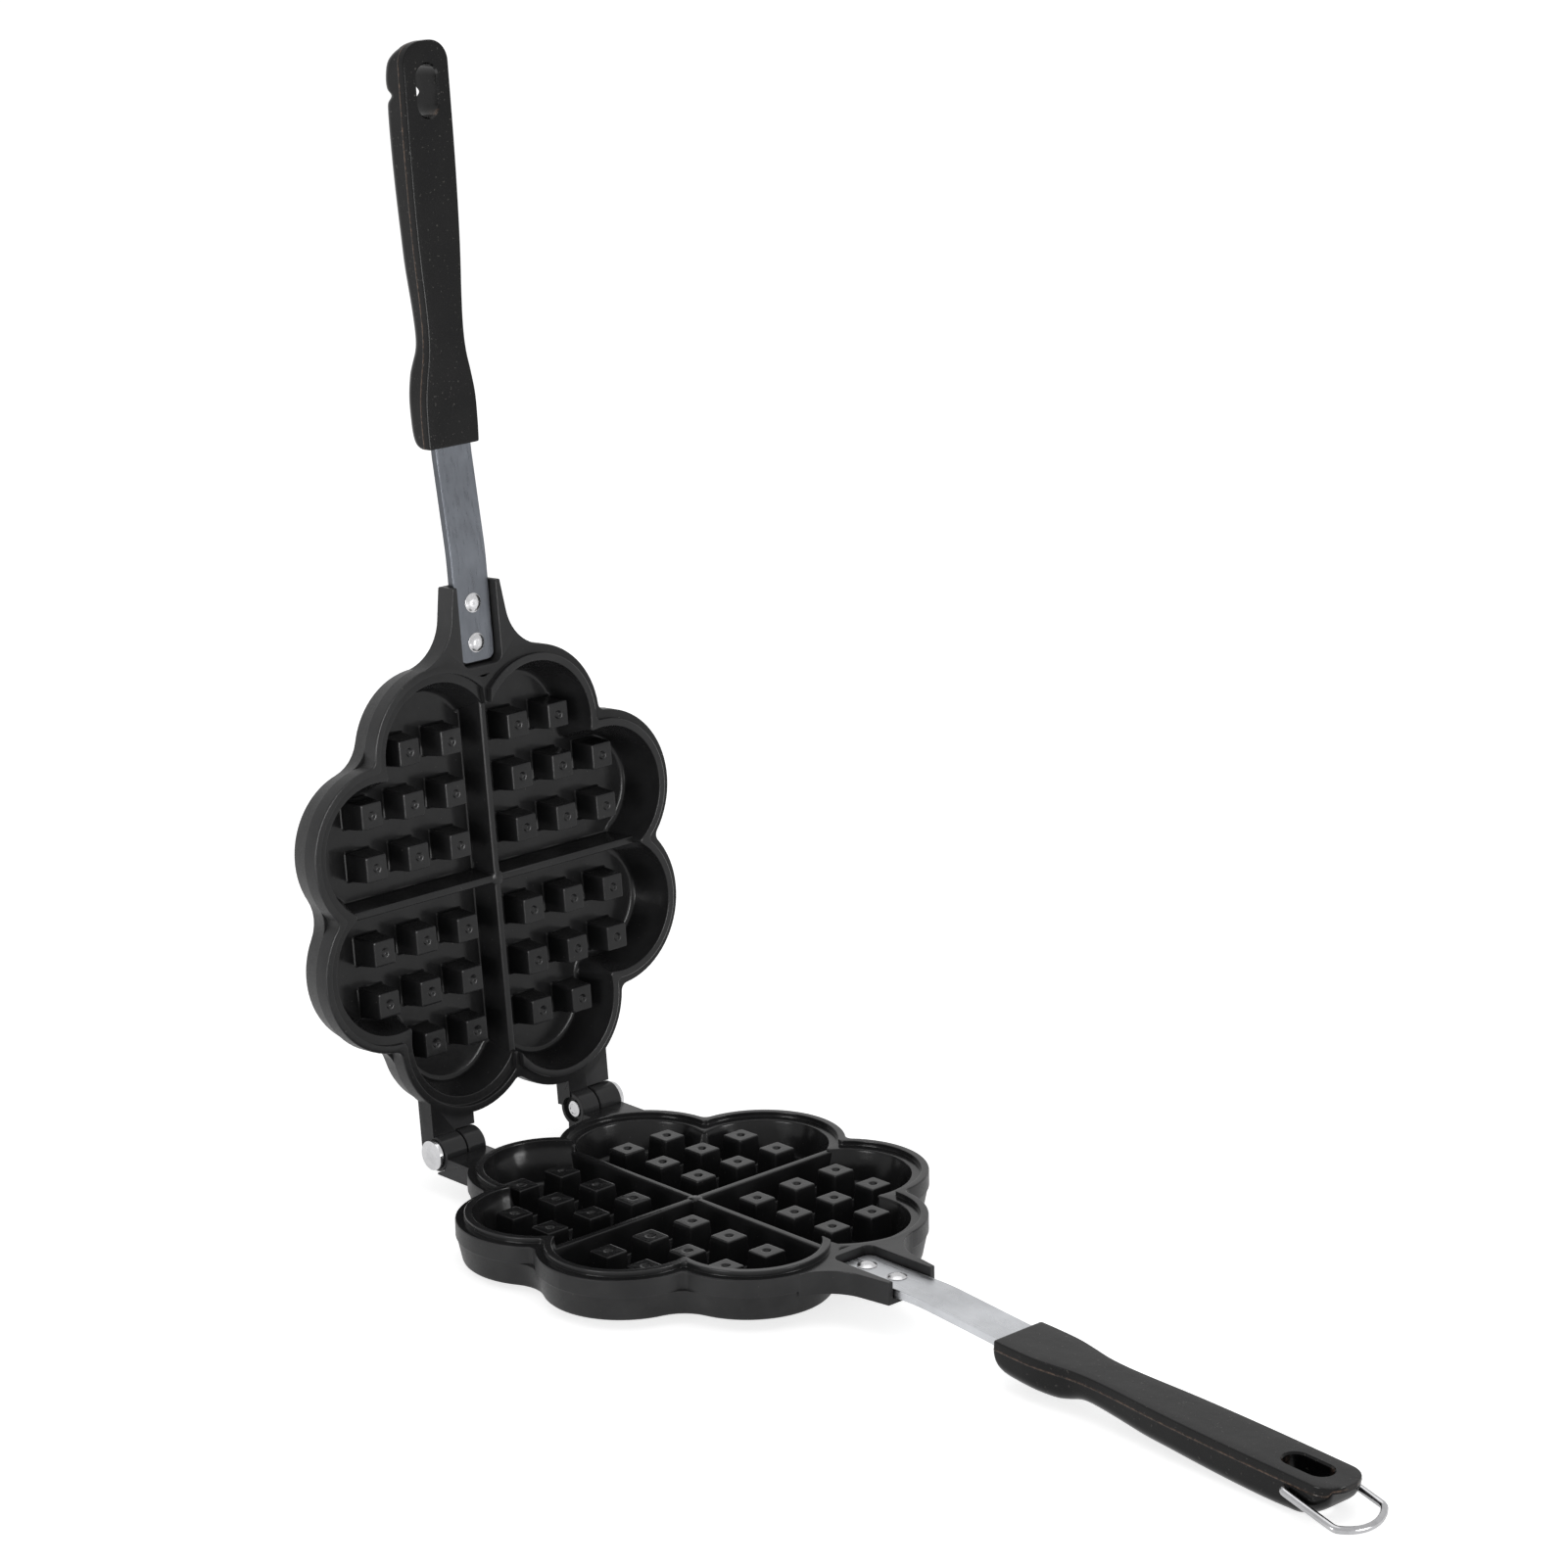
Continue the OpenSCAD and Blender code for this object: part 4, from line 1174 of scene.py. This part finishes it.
floor_tone, floor_glow = 0.80, 0.74
material, tree, shader = finish_named("white_table")
tree.nodes.remove(shader)
matt = add(tree, "ShaderNodeBsdfDiffuse", {"Color": (floor_tone, floor_tone, floor_tone, 1)})
level = arithmetic(tree, "MULTIPLY", looked_at(tree), floor_glow)
glow = add(tree, "ShaderNodeEmission", {"Color": (1, 1, 1, 1), "Strength": level})
both = add(tree, "ShaderNodeAddShader", {0: matt.outputs[0], 1: glow.outputs[0]})
plug(tree, tree.nodes["Material Output"], {"Surface": both.outputs[0]})
floor.data.materials.append(material)

# %% White world
world_light = 0.38
world = bpy.data.worlds.new("white_world")
bpy.context.scene.world = world
world.use_nodes = True
tree = world.node_tree
level = add(tree, "ShaderNodeMapRange", {"Value": looked_at(tree), "To Min": world_light, "To Max": 1.0})
plug(tree, tree.nodes["Background"], {"Color": (1, 1, 1, 1), "Strength": level.outputs["Result"]})
print("table glows at", floor_glow, "and the world lights at", world_light)

# %% [markdown]
# ## Lamps
# In the photograph the light comes from low in front, much of it off the white table, so the lid shows soft
# shadows above its pegs while the lower cavity stays dark. A wide lamp lies on the table for this. Two more
# stand in front on the right and on the left, and a weak one hangs overhead.


# %% Four soft lamps
def soft_lamp(name, place, target, size, watts):
    """A square area lamp that looks at a target; sizes in metres."""
    data = bpy.data.lights.new(name, "AREA")
    data.shape = "SQUARE"
    data.size = size
    data.energy = watts
    lamp = piece_of(name, data)
    lamp.location = place
    lamp.rotation_euler = (Vector(target) - Vector(place)).to_track_quat("-Z", "Y").to_euler()
    return lamp


middle = Vector((0.03, 0.0, 0.12))
soft_lamp("key_lamp", (1.45, 0.45, 0.06), middle, 0.5, 10)
soft_lamp("top_lamp", (0.1, 0.1, 1.6), middle, 1.4, 6)
soft_lamp("side_lamp", (0.2, -1.6, 0.06), middle, 0.6, 14)
table_lamp = soft_lamp("table_lamp", (0.45, -0.75, 0.004), (0.45, -0.75, 1), 0.9, 9)
table_lamp.visible_camera = False
print("lamps, in watts:", {lamp.name: lamp.energy for lamp in bpy.data.lights})

# %% [markdown]
# ## Camera
# The photograph was taken with a long lens from the front right, looking down by sixteen degrees. The
# place, turn and lens below come from matching the peg grids of both halves to the photograph.

# %% Camera
camera_place = (1.1302, -1.0022, 0.6057)
camera_turn = (73.662, 0.920, 46.892)
lens_data = bpy.data.cameras.new("camera")
lens_data.sensor_width = 36.0
lens_data.lens = 106.05
camera = piece_of("camera", lens_data)
camera.location = camera_place
camera.rotation_euler = [math.radians(a) for a in camera_turn]
bpy.context.scene.camera = camera
bpy.context.scene.view_settings.view_transform = "Standard"
print("camera distance", round((camera.location - middle).length, 2), "m")
